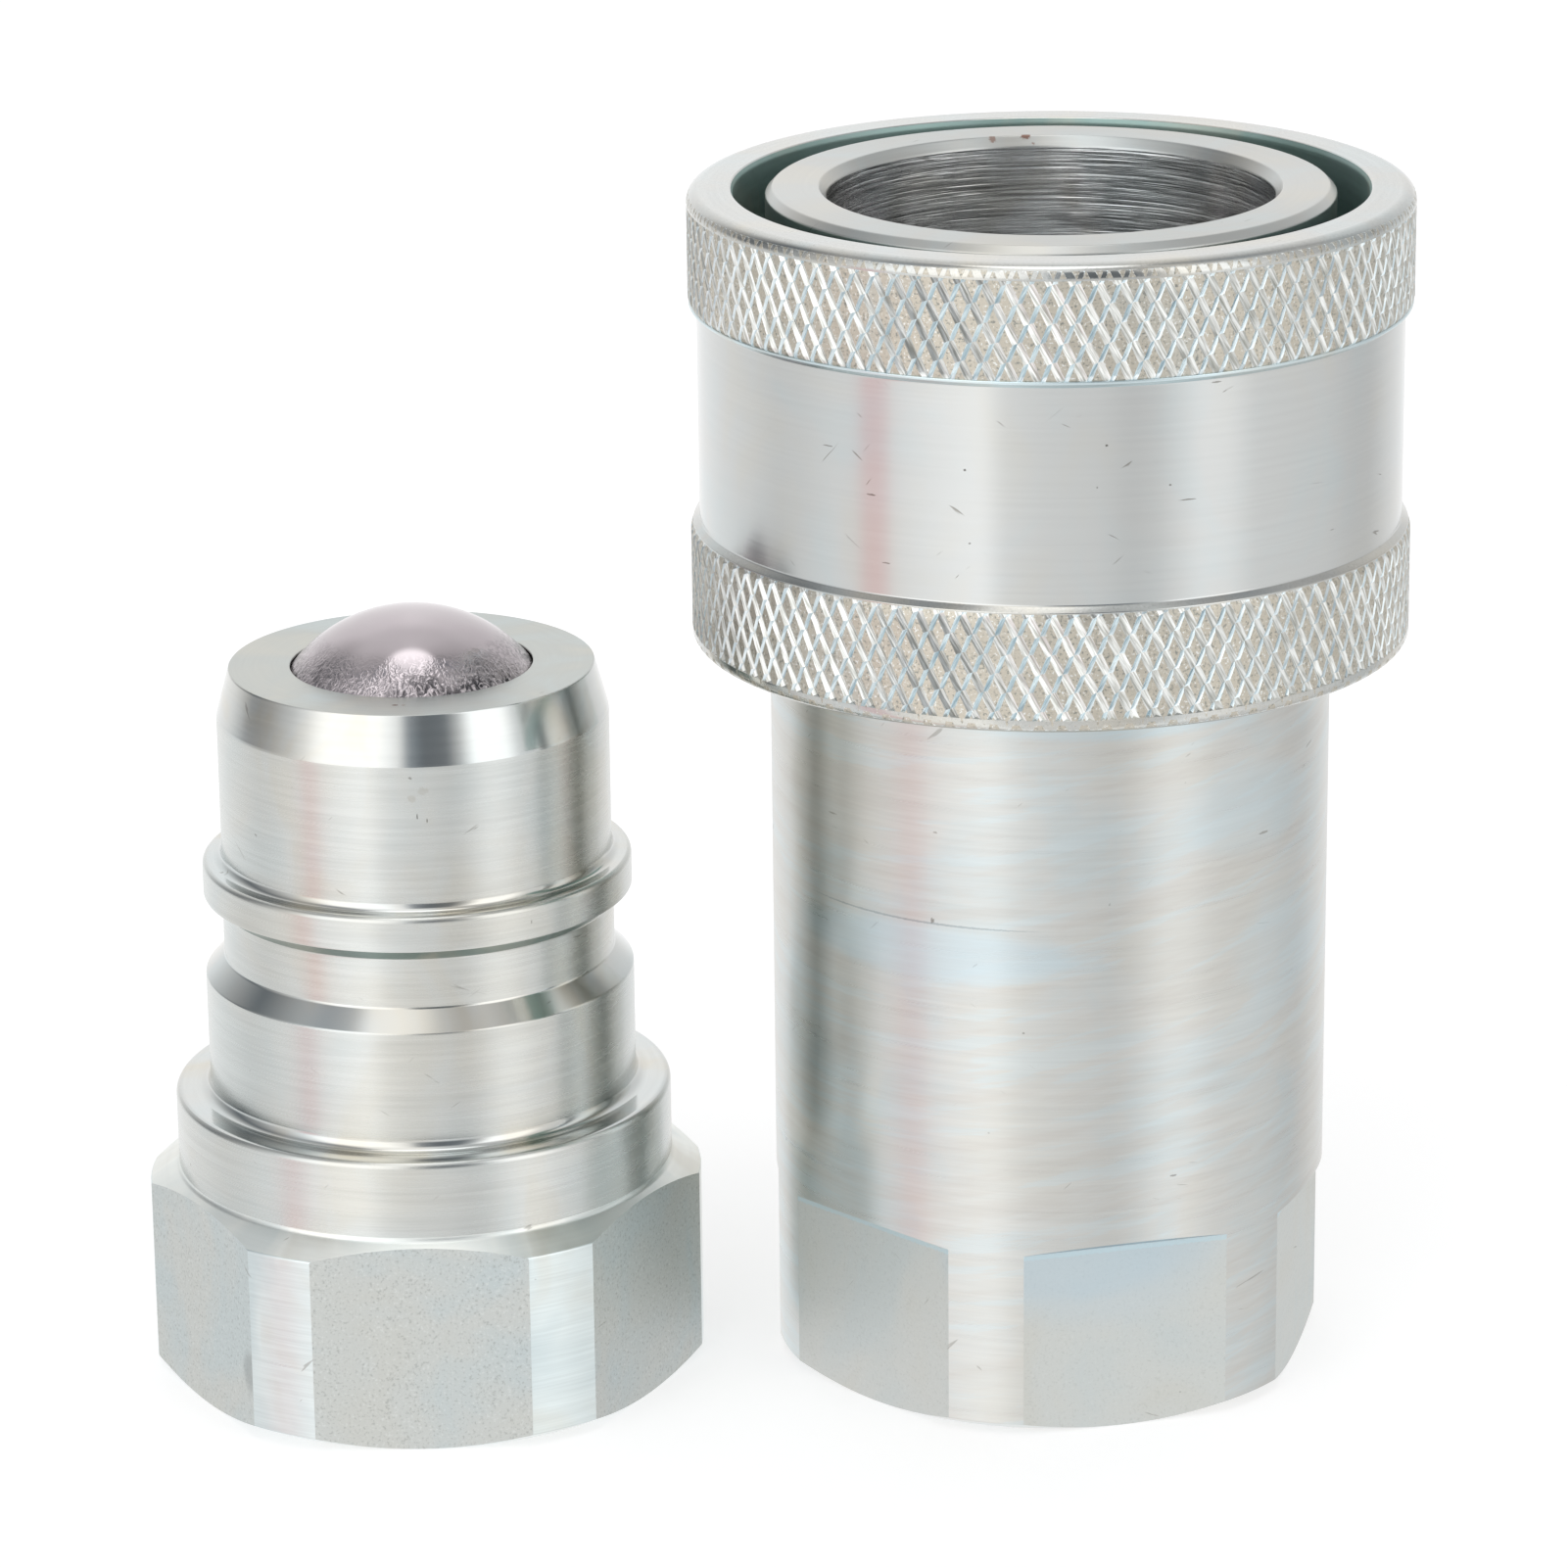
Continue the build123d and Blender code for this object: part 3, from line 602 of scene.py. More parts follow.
def zinc_plate(name, centre_x, clear, roughness, anisotropy, line_reach=0.003, line_scale=4.5,
               line_round=0.35, line_shade=0.05, blue=0.4, warm=0.4, streaks=0.0, pits=0.0, pit_reach=0.01,
               specks=0.6, scratches=0.5, spots=()):
    """Bright zinc plate with a clear blue passivation on steel. The plate is a soft grey metal; its thin clear
    film gives faint blue and straw tints; the steel's tool marks draw the reflections out along the axis."""
    finish, tree = new_finish(name)
    point, radius, height, outward = about_axis(tree, centre_x)
    marks = along_turning(tree, radius, height, outward, line_round)

    # Tool marks: line_scale lines a millimetre, drawn coarser than the real feed so that they show
    lines = add(tree, "ShaderNodeTexNoise", {"Vector": marks, "Scale": line_scale, "Detail": 2.0,
                                             "Roughness": 0.6}).outputs["Fac"]
    # Film tints in patches 4 to 9 mm wide, drawn out round the axis
    patch = add(tree, "ShaderNodeVectorMath", {0: outward, 1: (3.2, 3.2, 0), 2: point}, operation="MULTIPLY_ADD")
    film = add(tree, "ShaderNodeTexNoise", {"Vector": patch.outputs[0], "Scale": 0.13, "Detail": 3.0,
                                            "Distortion": 0.8}).outputs["Fac"]
    colour = tinted(tree, linear(clear), "#C4D2D6", film, 0.50, 0.66, blue)
    colour = tinted(tree, colour, "#D3CDBF", film, 0.48, 0.34, warm)
    if streaks:
        # Stains left by the rinse: lines and bands up to 3 mm high that climb to the right
        climb = add(tree, "ShaderNodeVectorMath", {0: point, 1: (-0.2, -0.11, 1.0)}, operation="DOT_PRODUCT")
        lift = add(tree, "ShaderNodeCombineXYZ", {"Z": climb.outputs["Value"]}).outputs[0]
        streak = add(tree, "ShaderNodeVectorMath", {0: outward, 1: (1.5, 1.5, 0), 2: lift},
                     operation="MULTIPLY_ADD").outputs[0]
        stain = add(tree, "ShaderNodeTexNoise", {"Vector": streak, "Scale": 0.8, "Detail": 8.0, "Roughness": 0.65,
                                                 "Distortion": 0.15}).outputs["Fac"]
        colour = tinted(tree, colour, "#CFDCE0", stain, 0.53, 0.58, streaks)
        colour = tinted(tree, colour, "#CBC7C1", stain, 0.48, 0.38, streaks)
    # The marks' own shade, a few percent
    shade = add(tree, "ShaderNodeMapRange", {"Value": lines, "From Min": 0.3, "From Max": 0.7,
                                             "To Min": 1.0 - line_shade, "To Max": 1.0 + line_shade / 2}).outputs[0]
    colour = add(tree, "ShaderNodeVectorMath", {0: colour, "Scale": shade}, operation="SCALE").outputs[0]
    # Dark specks of 0.05 to 0.12 mm on about one in four cells of 2 mm, with ragged outlines
    ragged = add(tree, "ShaderNodeTexNoise", {"Vector": point, "Scale": 5.0, "Detail": 1.0}).outputs["Color"]
    rough_point = add(tree, "ShaderNodeVectorMath", {0: ragged, 1: (0.25, 0.25, 0.25), 2: point},
                      operation="MULTIPLY_ADD").outputs[0]
    cells = add(tree, "ShaderNodeTexVoronoi", {"Vector": rough_point, "Scale": 0.5, "Randomness": 1.0})
    chosen = add(tree, "ShaderNodeSeparateXYZ", {0: cells.outputs["Color"]}).outputs["X"]
    size = add(tree, "ShaderNodeMapRange", {"Value": chosen, "From Min": 0.7, "From Max": 1.0,
                                            "To Min": 0.0, "To Max": 0.06}).outputs[0]
    inside = add(tree, "ShaderNodeMath", {0: size, 1: cells.outputs["Distance"]}, operation="SUBTRACT").outputs[0]
    colour = tinted(tree, colour, "#75716A", inside, 0.0, 0.03, specks)
    if scratches:
        # Handling scratches 1 to 3 mm long and 0.1 mm wide, in two slanting directions
        for turn, seed in ((0.6, 0.0), (-0.45, 40.0)):
            slant = add(tree, "ShaderNodeMapping", {"Vector": point, "Location": (seed, 0, 0),
                                                    "Rotation": (turn, turn, 0)}).outputs[0]
            thin = add(tree, "ShaderNodeVectorMath", {0: slant, 1: (0.4, 0.4, 3.6)},
                       operation="MULTIPLY").outputs[0]
            hair = add(tree, "ShaderNodeTexNoise", {"Vector": thin, "Scale": 1.0, "Detail": 2.0,
                                                    "Distortion": 0.5}).outputs["Fac"]
            colour = tinted(tree, colour, "#8A8780", hair, 0.75, 0.79, scratches)
    if pits:
        # The matte pickled skin of drawn bar: a dense pepper of pits of 0.05 to 0.1 mm, and lighter nicks
        skin = add(tree, "ShaderNodeTexNoise", {"Vector": point, "Scale": 6.5, "Detail": 2.0,
                                                "Roughness": 0.6}).outputs["Fac"]
        colour = tinted(tree, colour, "#848884", skin, 0.43, 0.33, pits)
        colour = tinted(tree, colour, "#EEF1F0", skin, 0.60, 0.68, pits)
    colour = stained(tree, colour, point, spots)

    rough = add(tree, "ShaderNodeMapRange", {"Value": lines, "From Min": 0.2, "From Max": 0.8,
                                             "To Min": roughness * 0.9, "To Max": roughness * 1.1}).outputs[0]
    round_axis = add(tree, "ShaderNodeVectorMath", {0: (0, 0, 1), 1: outward}, operation="CROSS_PRODUCT").outputs[0]
    bump = add(tree, "ShaderNodeBump", {"Height": lines, "Strength": 1.0, "Distance": line_reach * MM})
    if pits:
        bump = add(tree, "ShaderNodeBump", {"Height": skin, "Strength": pits, "Distance": pit_reach * MM,
                                            "Normal": bump.outputs[0]})
    coat(tree, {"Base Color": colour, "Roughness": rough, "Metallic": 1.0, "Anisotropic": anisotropy,
                "Anisotropic Rotation": 0.25, "Tangent": round_axis, "Normal": bump.outputs[0]})
    return finish


def knurl_groove(name, colour, shaded, roughness, lean):
    """A groove that a knurling wheel has rolled into the steel, zinc plated, with fine ribs along it. Its pale
    colour is painted light, standing in for the highlights and reflections on the flanks. lean is the groove's
    lean in degrees, positive to the right."""
    finish, tree = new_finish(name)
    point, _, height, _ = about_axis(tree, 0.0)
    parts = add(tree, "ShaderNodeSeparateXYZ", {0: point})
    toward = add(tree, "ShaderNodeMath", {0: parts.outputs["Y"], 1: -1.0}, operation="MULTIPLY").outputs[0]
    bearing = add(tree, "ShaderNodeMath", {0: parts.outputs["X"], 1: toward}, operation="ARCTAN2").outputs[0]
    arc = add(tree, "ShaderNodeMath", {0: bearing, 1: KNURL_R}, operation="MULTIPLY").outputs[0]
    unrolled = add(tree, "ShaderNodeCombineXYZ", {"X": arc, "Y": height}).outputs[0]
    along = add(tree, "ShaderNodeVectorRotate", {"Vector": unrolled, "Angle": radians(lean), "Axis": (0, 0, 1)},
                rotation_type="AXIS_ANGLE").outputs[0]
    # Ribs about 0.1 mm apart across the groove and 1.5 mm long
    ribs = add(tree, "ShaderNodeVectorMath", {0: along, 1: (9.0, 0.7, 0)}, operation="MULTIPLY").outputs[0]
    rib = add(tree, "ShaderNodeTexNoise", {"Vector": ribs, "Scale": 1.0, "Detail": 2.0}).outputs["Fac"]
    base = tinted(tree, linear(colour), shaded, rib, 0.62, 0.36)
    bump = add(tree, "ShaderNodeBump", {"Height": rib, "Strength": 0.8, "Distance": 0.02 * MM})
    coat(tree, {"Base Color": base, "Metallic": 1.0, "Roughness": roughness, "Normal": bump.outputs[0]})
    return finish


def polished_steel(name, smeared_from=None):
    """Hardened bearing-ball steel, lapped to a mirror and a little hazed; above its seat it is smeared with
    old oil that has dried in fine upright ripples."""
    finish, tree = new_finish(name)
    point, _, height, _ = about_axis(tree, PLUG_X)
    haze = add(tree, "ShaderNodeTexNoise", {"Vector": point, "Scale": 0.6, "Detail": 4.0}).outputs["Fac"]
    rough = add(tree, "ShaderNodeMapRange", {"Value": haze, "From Min": 0.3, "From Max": 0.7,
                                             "To Min": 0.08, "To Max": 0.14}).outputs[0]
    look = {"Roughness": rough, "Metallic": 1.0}
    colour = add(tree, "ShaderNodeMixRGB", {"Fac": haze, "Color1": linear("#BFB6BA"),
                                            "Color2": linear("#C6BFC2")}).outputs[0]
    if smeared_from is not None:
        low = add(tree, "ShaderNodeMapRange", {"Value": height, "From Min": smeared_from + 1.7,
                                               "From Max": smeared_from + 0.2}).outputs[0]
        # Ripples about 0.25 mm apart
        upright = add(tree, "ShaderNodeVectorMath", {0: point, 1: (3.4, 3.4, 1.1)}, operation="MULTIPLY").outputs[0]
        ripple = add(tree, "ShaderNodeTexNoise", {"Vector": upright, "Scale": 1.0, "Detail": 2.0,
                                                  "Distortion": 1.6}).outputs["Fac"]
        cloud = add(tree, "ShaderNodeTexNoise", {"Vector": point, "Scale": 0.32, "Detail": 3.0}).outputs["Fac"]
        cloudy = add(tree, "ShaderNodeMapRange", {"Value": cloud, "From Min": 0.38, "From Max": 0.54}).outputs[0]
        dark = add(tree, "ShaderNodeMapRange", {"Value": ripple, "From Min": 0.56, "From Max": 0.46}).outputs[0]
        smear = add(tree, "ShaderNodeMath", {0: low, 1: dark}, operation="MULTIPLY").outputs[0]
        smear = add(tree, "ShaderNodeMath", {0: smear, 1: cloudy}, operation="MULTIPLY").outputs[0]
        colour = add(tree, "ShaderNodeMixRGB", {"Fac": smear, "Color1": colour,
                                                "Color2": linear("#464549")}).outputs[0]
        deep = add(tree, "ShaderNodeMath", {0: low, 1: 0.9}, operation="MULTIPLY").outputs[0]
        bump = add(tree, "ShaderNodeBump", {"Height": ripple, "Strength": deep, "Distance": 0.08 * MM})
        look["Normal"] = bump.outputs[0]
    look["Base Color"] = colour
    coat(tree, look)
    return finish


def drawn_wire(name):
    """Spring wire, drawn and oiled: dark grey steel with fine lengthwise lines."""
    finish, tree = new_finish(name)
    point = about_axis(tree, 0)[0]
    lines = add(tree, "ShaderNodeTexNoise", {"Vector": point, "Scale": 3.0, "Detail": 3.0}).outputs["Fac"]
    colour = add(tree, "ShaderNodeMixRGB", {"Fac": lines, "Color1": linear("#8C8C8A"), "Color2": linear("#A3A29E")})
    coat(tree, {"Base Color": colour.outputs[0], "Metallic": 1.0, "Roughness": 0.32})
    return finish


def moulded_nitrile(name):
    """Nitrile rubber: near black, with the dull skin that the mould leaves."""
    finish, tree = new_finish(name)
    point = about_axis(tree, 0)[0]
    skin = add(tree, "ShaderNodeTexNoise", {"Vector": point, "Scale": 4.0, "Detail": 4.0}).outputs["Fac"]
    colour = add(tree, "ShaderNodeMixRGB", {"Fac": skin, "Color1": linear("#1B1B1C"), "Color2": linear("#2A2A2B")})
    coat(tree, {"Base Color": colour.outputs[0], "Roughness": 0.55, "IOR": 1.52})
    return finish


def turned_fluoropolymer(name):
    """A backup ring cut from white fluoropolymer rod: waxy, with faint tool lines."""
    finish, tree = new_finish(name)
    _, radius, height, outward = about_axis(tree, 0)
    marks = along_turning(tree, radius, height, outward, 0.3)
    lines = add(tree, "ShaderNodeTexNoise", {"Vector": marks, "Scale": 6.0}).outputs["Fac"]
    colour = add(tree, "ShaderNodeMixRGB", {"Fac": lines, "Color1": linear("#E4E2DA"), "Color2": linear("#EFEDE7")})
    coat(tree, {"Base Color": colour.outputs[0], "Roughness": 0.42, "IOR": 1.35})
    return finish


# ---------------------------------------------------------------- the object

plug_turning = zinc_plate("zinc_plate_on_turned_plug", PLUG_X, "#D4D6D3", 0.27, 0.4, line_shade=0.07, warm=0.35,
                          blue=0.25, spots=[((0.16, -10.2, 33.34), (0.04, 0.3, 0.14), "#55534E", 0.8),
                                            ((0.65, -10.18, 33.11), (0.04, 0.3, 0.12), "#66635C", 0.7),
                                            ((-0.1, -10.2, 34.3), (0.25, 0.3, 0.2), "#A9A08F", 0.25),
                                            ((0.5, -10.2, 34.7), (0.3, 0.3, 0.2), "#A9A08F", 0.2)])
plug_bar = zinc_plate("zinc_plate_on_drawn_hexagon", PLUG_X, "#D0D3D0", 0.44, 0.0, line_reach=0.0, line_shade=0.0,
                      pits=0.32, specks=0.8, blue=0.5, warm=0.15,
                      spots=[((-8.61, -10.91, 3.6), (1.3, 1.0, 1.6), "#8F9698", 0.45),
                             ((4.64, -13.1, 6.8), (0.06, 0.5, 2.2), "#8E918D", 0.5)])
plug_corners = zinc_plate("zinc_plate_on_turned_hexagon_corners", PLUG_X, "#DFE8E8", 0.3, 0.2, line_scale=8.0,
                          line_shade=0.07, blue=0.5)
# The hexagon's cone is near white: painted light, lighter than the same plate elsewhere
hexagon_cone = zinc_plate("zinc_plate_on_hexagon_cone", PLUG_X, "#F2F4F0", 0.36, 0.0, line_reach=0.002, warm=0.4,
                          blue=0.4, spots=[((4.6, -13.12, 11.28), (0.4, 0.5, 0.12), "#3F4C66", 0.7),
                                           ((-0.78, -13.88, 10.9), (0.25, 0.5, 0.12), "#6C6A66", 0.6)])
# The collar's sloped underside: its dark teal is painted shade, the collar's shadow over the groove
under_collar = zinc_plate("zinc_plate_under_collar", PLUG_X, "#8C9C98", 0.35, 0.0, line_reach=0.002)
burnished = zinc_plate("zinc_plate_on_burnished_cones", PLUG_X, "#D2D4D2", 0.14, 0.0, line_reach=0.0015,
                       line_shade=0.03, warm=0.6, blue=0.4)
faced = zinc_plate("zinc_plate_on_faced_plug_nose", PLUG_X, "#BFC2BE", 0.36, 0.2, warm=0.3,
                   spots=[((-0.83, -7.64, 38.5), (0.18, 0.12, 0.2), "#6B4A3A", 0.85),
                          ((-0.39, -7.69, 38.5), (0.11, 0.08, 0.2), "#8A6A56", 0.7)])
cylinder = zinc_plate("zinc_plate_on_turned_socket_body", 0.0, "#D2D3D0", 0.29, 0.4, streaks=0.4, line_shade=0.05,
                      warm=0.2,
                      spots=[((-7.0, -11.0, 26.1), (9.0, 8.0, 1.6), "#C6D9E2", 0.45),
                             ((-8.0, -11.5, 27.72), (7.0, 7.0, 0.06), "#8F9A9F", 0.55),
                             ((3.0, -14.0, 38.6), (9.0, 4.0, 1.0), "#C6DCE6", 0.4),
                             ((9.0, -11.0, 33.0), (5.0, 5.0, 2.6), "#CADAE0", 0.3),
                             ((11.0, -9.0, 25.0), (3.5, 5.0, 3.4), "#CADAE0", 0.25),
                             ((-7.15, -12.7, 27.87), (0.1, 0.4, 0.16), "#77736B", 0.7),
                             ((-11.92, -8.38, 32.35), (0.3, 0.4, 0.05), "#8D8880", 0.6),
                             ((-6.99, -12.79, 32.6), (0.12, 0.4, 0.05), "#8D8880", 0.6),
                             ((-2.66, -14.33, 22.25), (0.07, 0.4, 0.05), "#77736B", 0.6),
                             ((9.94, -10.66, 31.42), (0.4, 0.4, 0.07), "#8D8880", 0.6),
                             ((5.12, -13.65, 14.0), (0.2, 0.4, 0.06), "#6E6A64", 0.6)])
port_wall = zinc_plate("zinc_plate_in_the_ports", 0.0, "#BEC1BE", 0.35, 0.5)
milled = zinc_plate("zinc_plate_on_milled_flats", 0.0, "#D3D6D3", 0.46, 0.0, line_reach=0.0, line_shade=0.0,
                    pits=0.12, blue=0.3, warm=0.2,
                    spots=[((1.5, -13.5, 9.9), (9.0, 2.5, 4.5), "#C2D5E0", 0.3),
                           ((0.5, -13.5, 9.9), (8.0, 2.5, 2.8), "#BCD2DF", 0.3),
                           # A light blue strip along the top of every flat: a painted reflection, under the
                           # run-outs' painted shade
                           ((0, 0, 9.9), (100, 100, 0.14), "#C8DFE7", 0.6),
                           ((-8.34, -11.95, 8.02), (0.2, 0.6, 0.05), "#5F5D58", 0.7),
                           ((-7.71, -12.37, 7.35), (0.25, 0.6, 0.06), "#5F5D58", 0.7)])
# The run-outs are painted dark: painted shade along the flats' top edges
run_out = zinc_plate("zinc_plate_on_milled_run_outs", 0.0, "#8FA2AB", 0.3, 0.0, line_reach=0.0, line_shade=0.0)
nose_ring = zinc_plate("zinc_plate_on_faced_nose", 0.0, "#C8C9C6", 0.34, 0.5, line_reach=0.004,
                       spots=[((-0.21, 11.82, 63.05), (0.28, 0.2, 0.3), "#7A4A36", 0.8),
                              ((0.18, 11.3, 62.7), (0.14, 0.3, 0.2), "#7A4A36", 0.7),
                              ((-1.97, 11.6, 62.9), (0.2, 0.2, 0.3), "#8A5A44", 0.6)])
bored = zinc_plate("zinc_plate_on_bored_mouth", 0.0, "#F4F6F6", 0.22, 0.0, line_reach=0.045, line_scale=7.0,
                   line_round=0.25, line_shade=0.6)
nose_wall = zinc_plate("zinc_plate_on_turned_nose", 0.0, "#C3CAC8", 0.32, 0.4)
# The inside of the sleeve is painted teal: painted shade and reflection of the narrow gap round the nose
in_gap = zinc_plate("zinc_plate_in_the_sleeve_painted_gap_shade", 0.0, "#9FB9B4", 0.5, 0.2, blue=0.2)
sleeve_band = zinc_plate("zinc_plate_on_polished_sleeve", 0.0, "#CED0CF", 0.17, 0.4, line_reach=0.0015,
                         line_shade=0.02, scratches=0.8, blue=0.3, warm=0.2,
                         spots=[((-10.24, -14.99, 50.93), (0.25, 0.4, 0.05), "#77736C", 0.8),
                                ((-5.82, -17.19, 52.66), (0.06, 0.4, 0.07), "#5E5A55", 0.8),
                                ((1.04, -18.12, 53.96), (0.07, 0.4, 0.06), "#5E5A55", 0.8),
                                ((5.12, -17.41, 50.95), (0.5, 0.4, 0.04), "#7D7A74", 0.8),
                                ((6.52, -16.94, 56.72), (0.3, 0.4, 0.05), "#7D7A74", 0.7),
                                ((-5.6, -17.27, 48.95), (0.07, 0.4, 0.05), "#6B6761", 0.7),
                                ((-12.29, -13.35, 53.05), (0.3, 0.4, 0.04), "#7D7A74", 0.7),
                                ((0.57, -18.14, 51.86), (0.05, 0.4, 0.05), "#6B6761", 0.7),
                                ((-9.57, -15.42, 47.54), (0.2, 0.4, 0.04), "#77736C", 0.7),
                                ((4.22, -17.65, 51.78), (0.08, 0.4, 0.05), "#6B6761", 0.7)])
sleeve_rim = zinc_plate("zinc_plate_on_sleeve_rim", 0.0, "#C9CAC7", 0.13, 0.0, warm=0.5, line_reach=0.001,
                        pits=0.15)
knurl_edge = zinc_plate("zinc_plate_on_knurl_edge", 0.0, "#D3E2E6", 0.25, 0.0, line_reach=0.0, line_shade=0.0)
knurl_land = zinc_plate("zinc_plate_on_knurl_lands", 0.0, "#C6C0B3", 0.42, 0.0, pits=0.8, pit_reach=0.03,
                        line_reach=0.0, specks=0.3, scratches=0.0, blue=0.2)
# The wide grooves' near white is a painted highlight, and the narrow grooves' light blue a painted reflection
wide_groove = knurl_groove("zinc_plate_in_wide_knurl_grooves_painted_highlight", "#F4F6F4", "#B4B5AF", 0.3, -30.0)
narrow_groove = knurl_groove("zinc_plate_in_narrow_knurl_grooves_painted_reflection", "#F0F8FA", "#C3D2D8", 0.42, 30.0)
smeared_ball = polished_steel("lapped_ball_steel_smeared", smeared_from=38.45)
ball_steel = polished_steel("lapped_ball_steel")
spring_wire = drawn_wire("oiled_spring_wire")
nitrile = moulded_nitrile("moulded_nitrile")
fluoropolymer = turned_fluoropolymer("turned_fluoropolymer")
guide_plate = zinc_plate("zinc_plate_on_pressed_guides", 0.0, "#B9BBB8", 0.3, 0.0)

place(socket_rear(), "socket", "zinc_body", [cylinder, milled, run_out, port_wall], "socket_rear_body")
place(socket_front(), "socket", "zinc_body", [nose_ring, bored, nose_wall], "socket_front_body")
place(port_thread("socket_port_thread", 0.0, 16.8), "socket", "zinc_body", [port_wall])
place(sleeve_core(), "sleeve", "zinc_sleeve", [sleeve_band, sleeve_rim, in_gap, knurl_edge, sleeve_rim], "sleeve")
place(knurled_ring("sleeve_upper_knurl", UPPER_RING_FOOT, SLEEVE_TOP, 0, RIM_ROUND),
      "sleeve", "zinc_sleeve", [knurl_land, wide_groove, narrow_groove])
place(knurled_ring("sleeve_lower_knurl", SLEEVE_FOOT, LOWER_RING_TOP, FOOT_ROUND, 0),
      "sleeve", "zinc_sleeve", [knurl_land, wide_groove, narrow_groove])

place(plug_turned(), "plug", "zinc_body",
      [plug_turning, plug_bar, plug_corners, burnished, faced, hexagon_cone, under_collar], "plug_body")
place(port_thread("plug_port_thread", PLUG_X, 13.6), "plug", "zinc_body", [port_wall])

place(steel_ball("plug_ball_lapped", (PLUG_X, 0, 33.456), VALVE_BALL_R), "plug_valve", "polished_ball",
      [smeared_ball], "plug_valve_ball")
place(steel_ball("socket_ball_lapped", (0, 0, 35.963), VALVE_BALL_R), "socket_valve", "polished_ball",
      [ball_steel], "socket_valve_ball")
for number, lock_angle in enumerate(LOCK_ANGLES, 1):
    angle = radians(lock_angle)
    centre = (LOCK_CENTRE_R * cos(angle), LOCK_CENTRE_R * sin(angle), LOCK_HEIGHT)
    place(steel_ball(f"locking_ball_lapped_{number}", centre, LOCK_BALL_R, rings=24), f"lock_{number}",
          "polished_ball", [ball_steel], f"locking_ball_{number}")

sleeve_coil = wound_spring("sleeve_spring_wound", 0.0, REAR_BODY_TOP + 0.02, LAND_FOOT - 0.02, 14.12)
place(sleeve_coil, "socket", "spring_steel", [spring_wire], "sleeve_spring")
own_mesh(sleeve_coil)
for half, centre_x, foot in (("socket", 0.0, 19.33), ("plug", PLUG_X, 16.823)):
    coil = wound_spring(f"{half}_valve_spring_wound", centre_x, foot + 0.02, foot + 10.0, 4.6)
    place(coil, half, "spring_steel", [spring_wire], f"{half}_valve_spring")
    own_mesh(coil)

place(moulded_ring("nose_seal_moulded", 11.15, 2.0, 45.427), "socket", "seal_rubber", [nitrile], "nose_seal")
place(moulded_ring("body_joint_seal_moulded", 11.77, 1.3, 33.55), "socket", "seal_rubber", [nitrile],
      "body_joint_o_ring")

for node_name, finish in (("backup_ring", fluoropolymer), ("sleeve_stop_ring", spring_wire),
                          ("plug_circlip", spring_wire), ("plug_valve_guide", guide_plate),
                          ("socket_valve_guide", guide_plate)):
    node_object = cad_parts[node_name]
    if not node_object.material_slots:
        node_object.data.materials.append(finish)
    for material_slot in node_object.material_slots:
        material_slot.material = finish


# ---------------------------------------------------------------- studio

ROOM_STRENGTH = 2.0
CEILING = (0.95, 0.95, 0.95, 1)
FLOOR_GLOW = 0.56


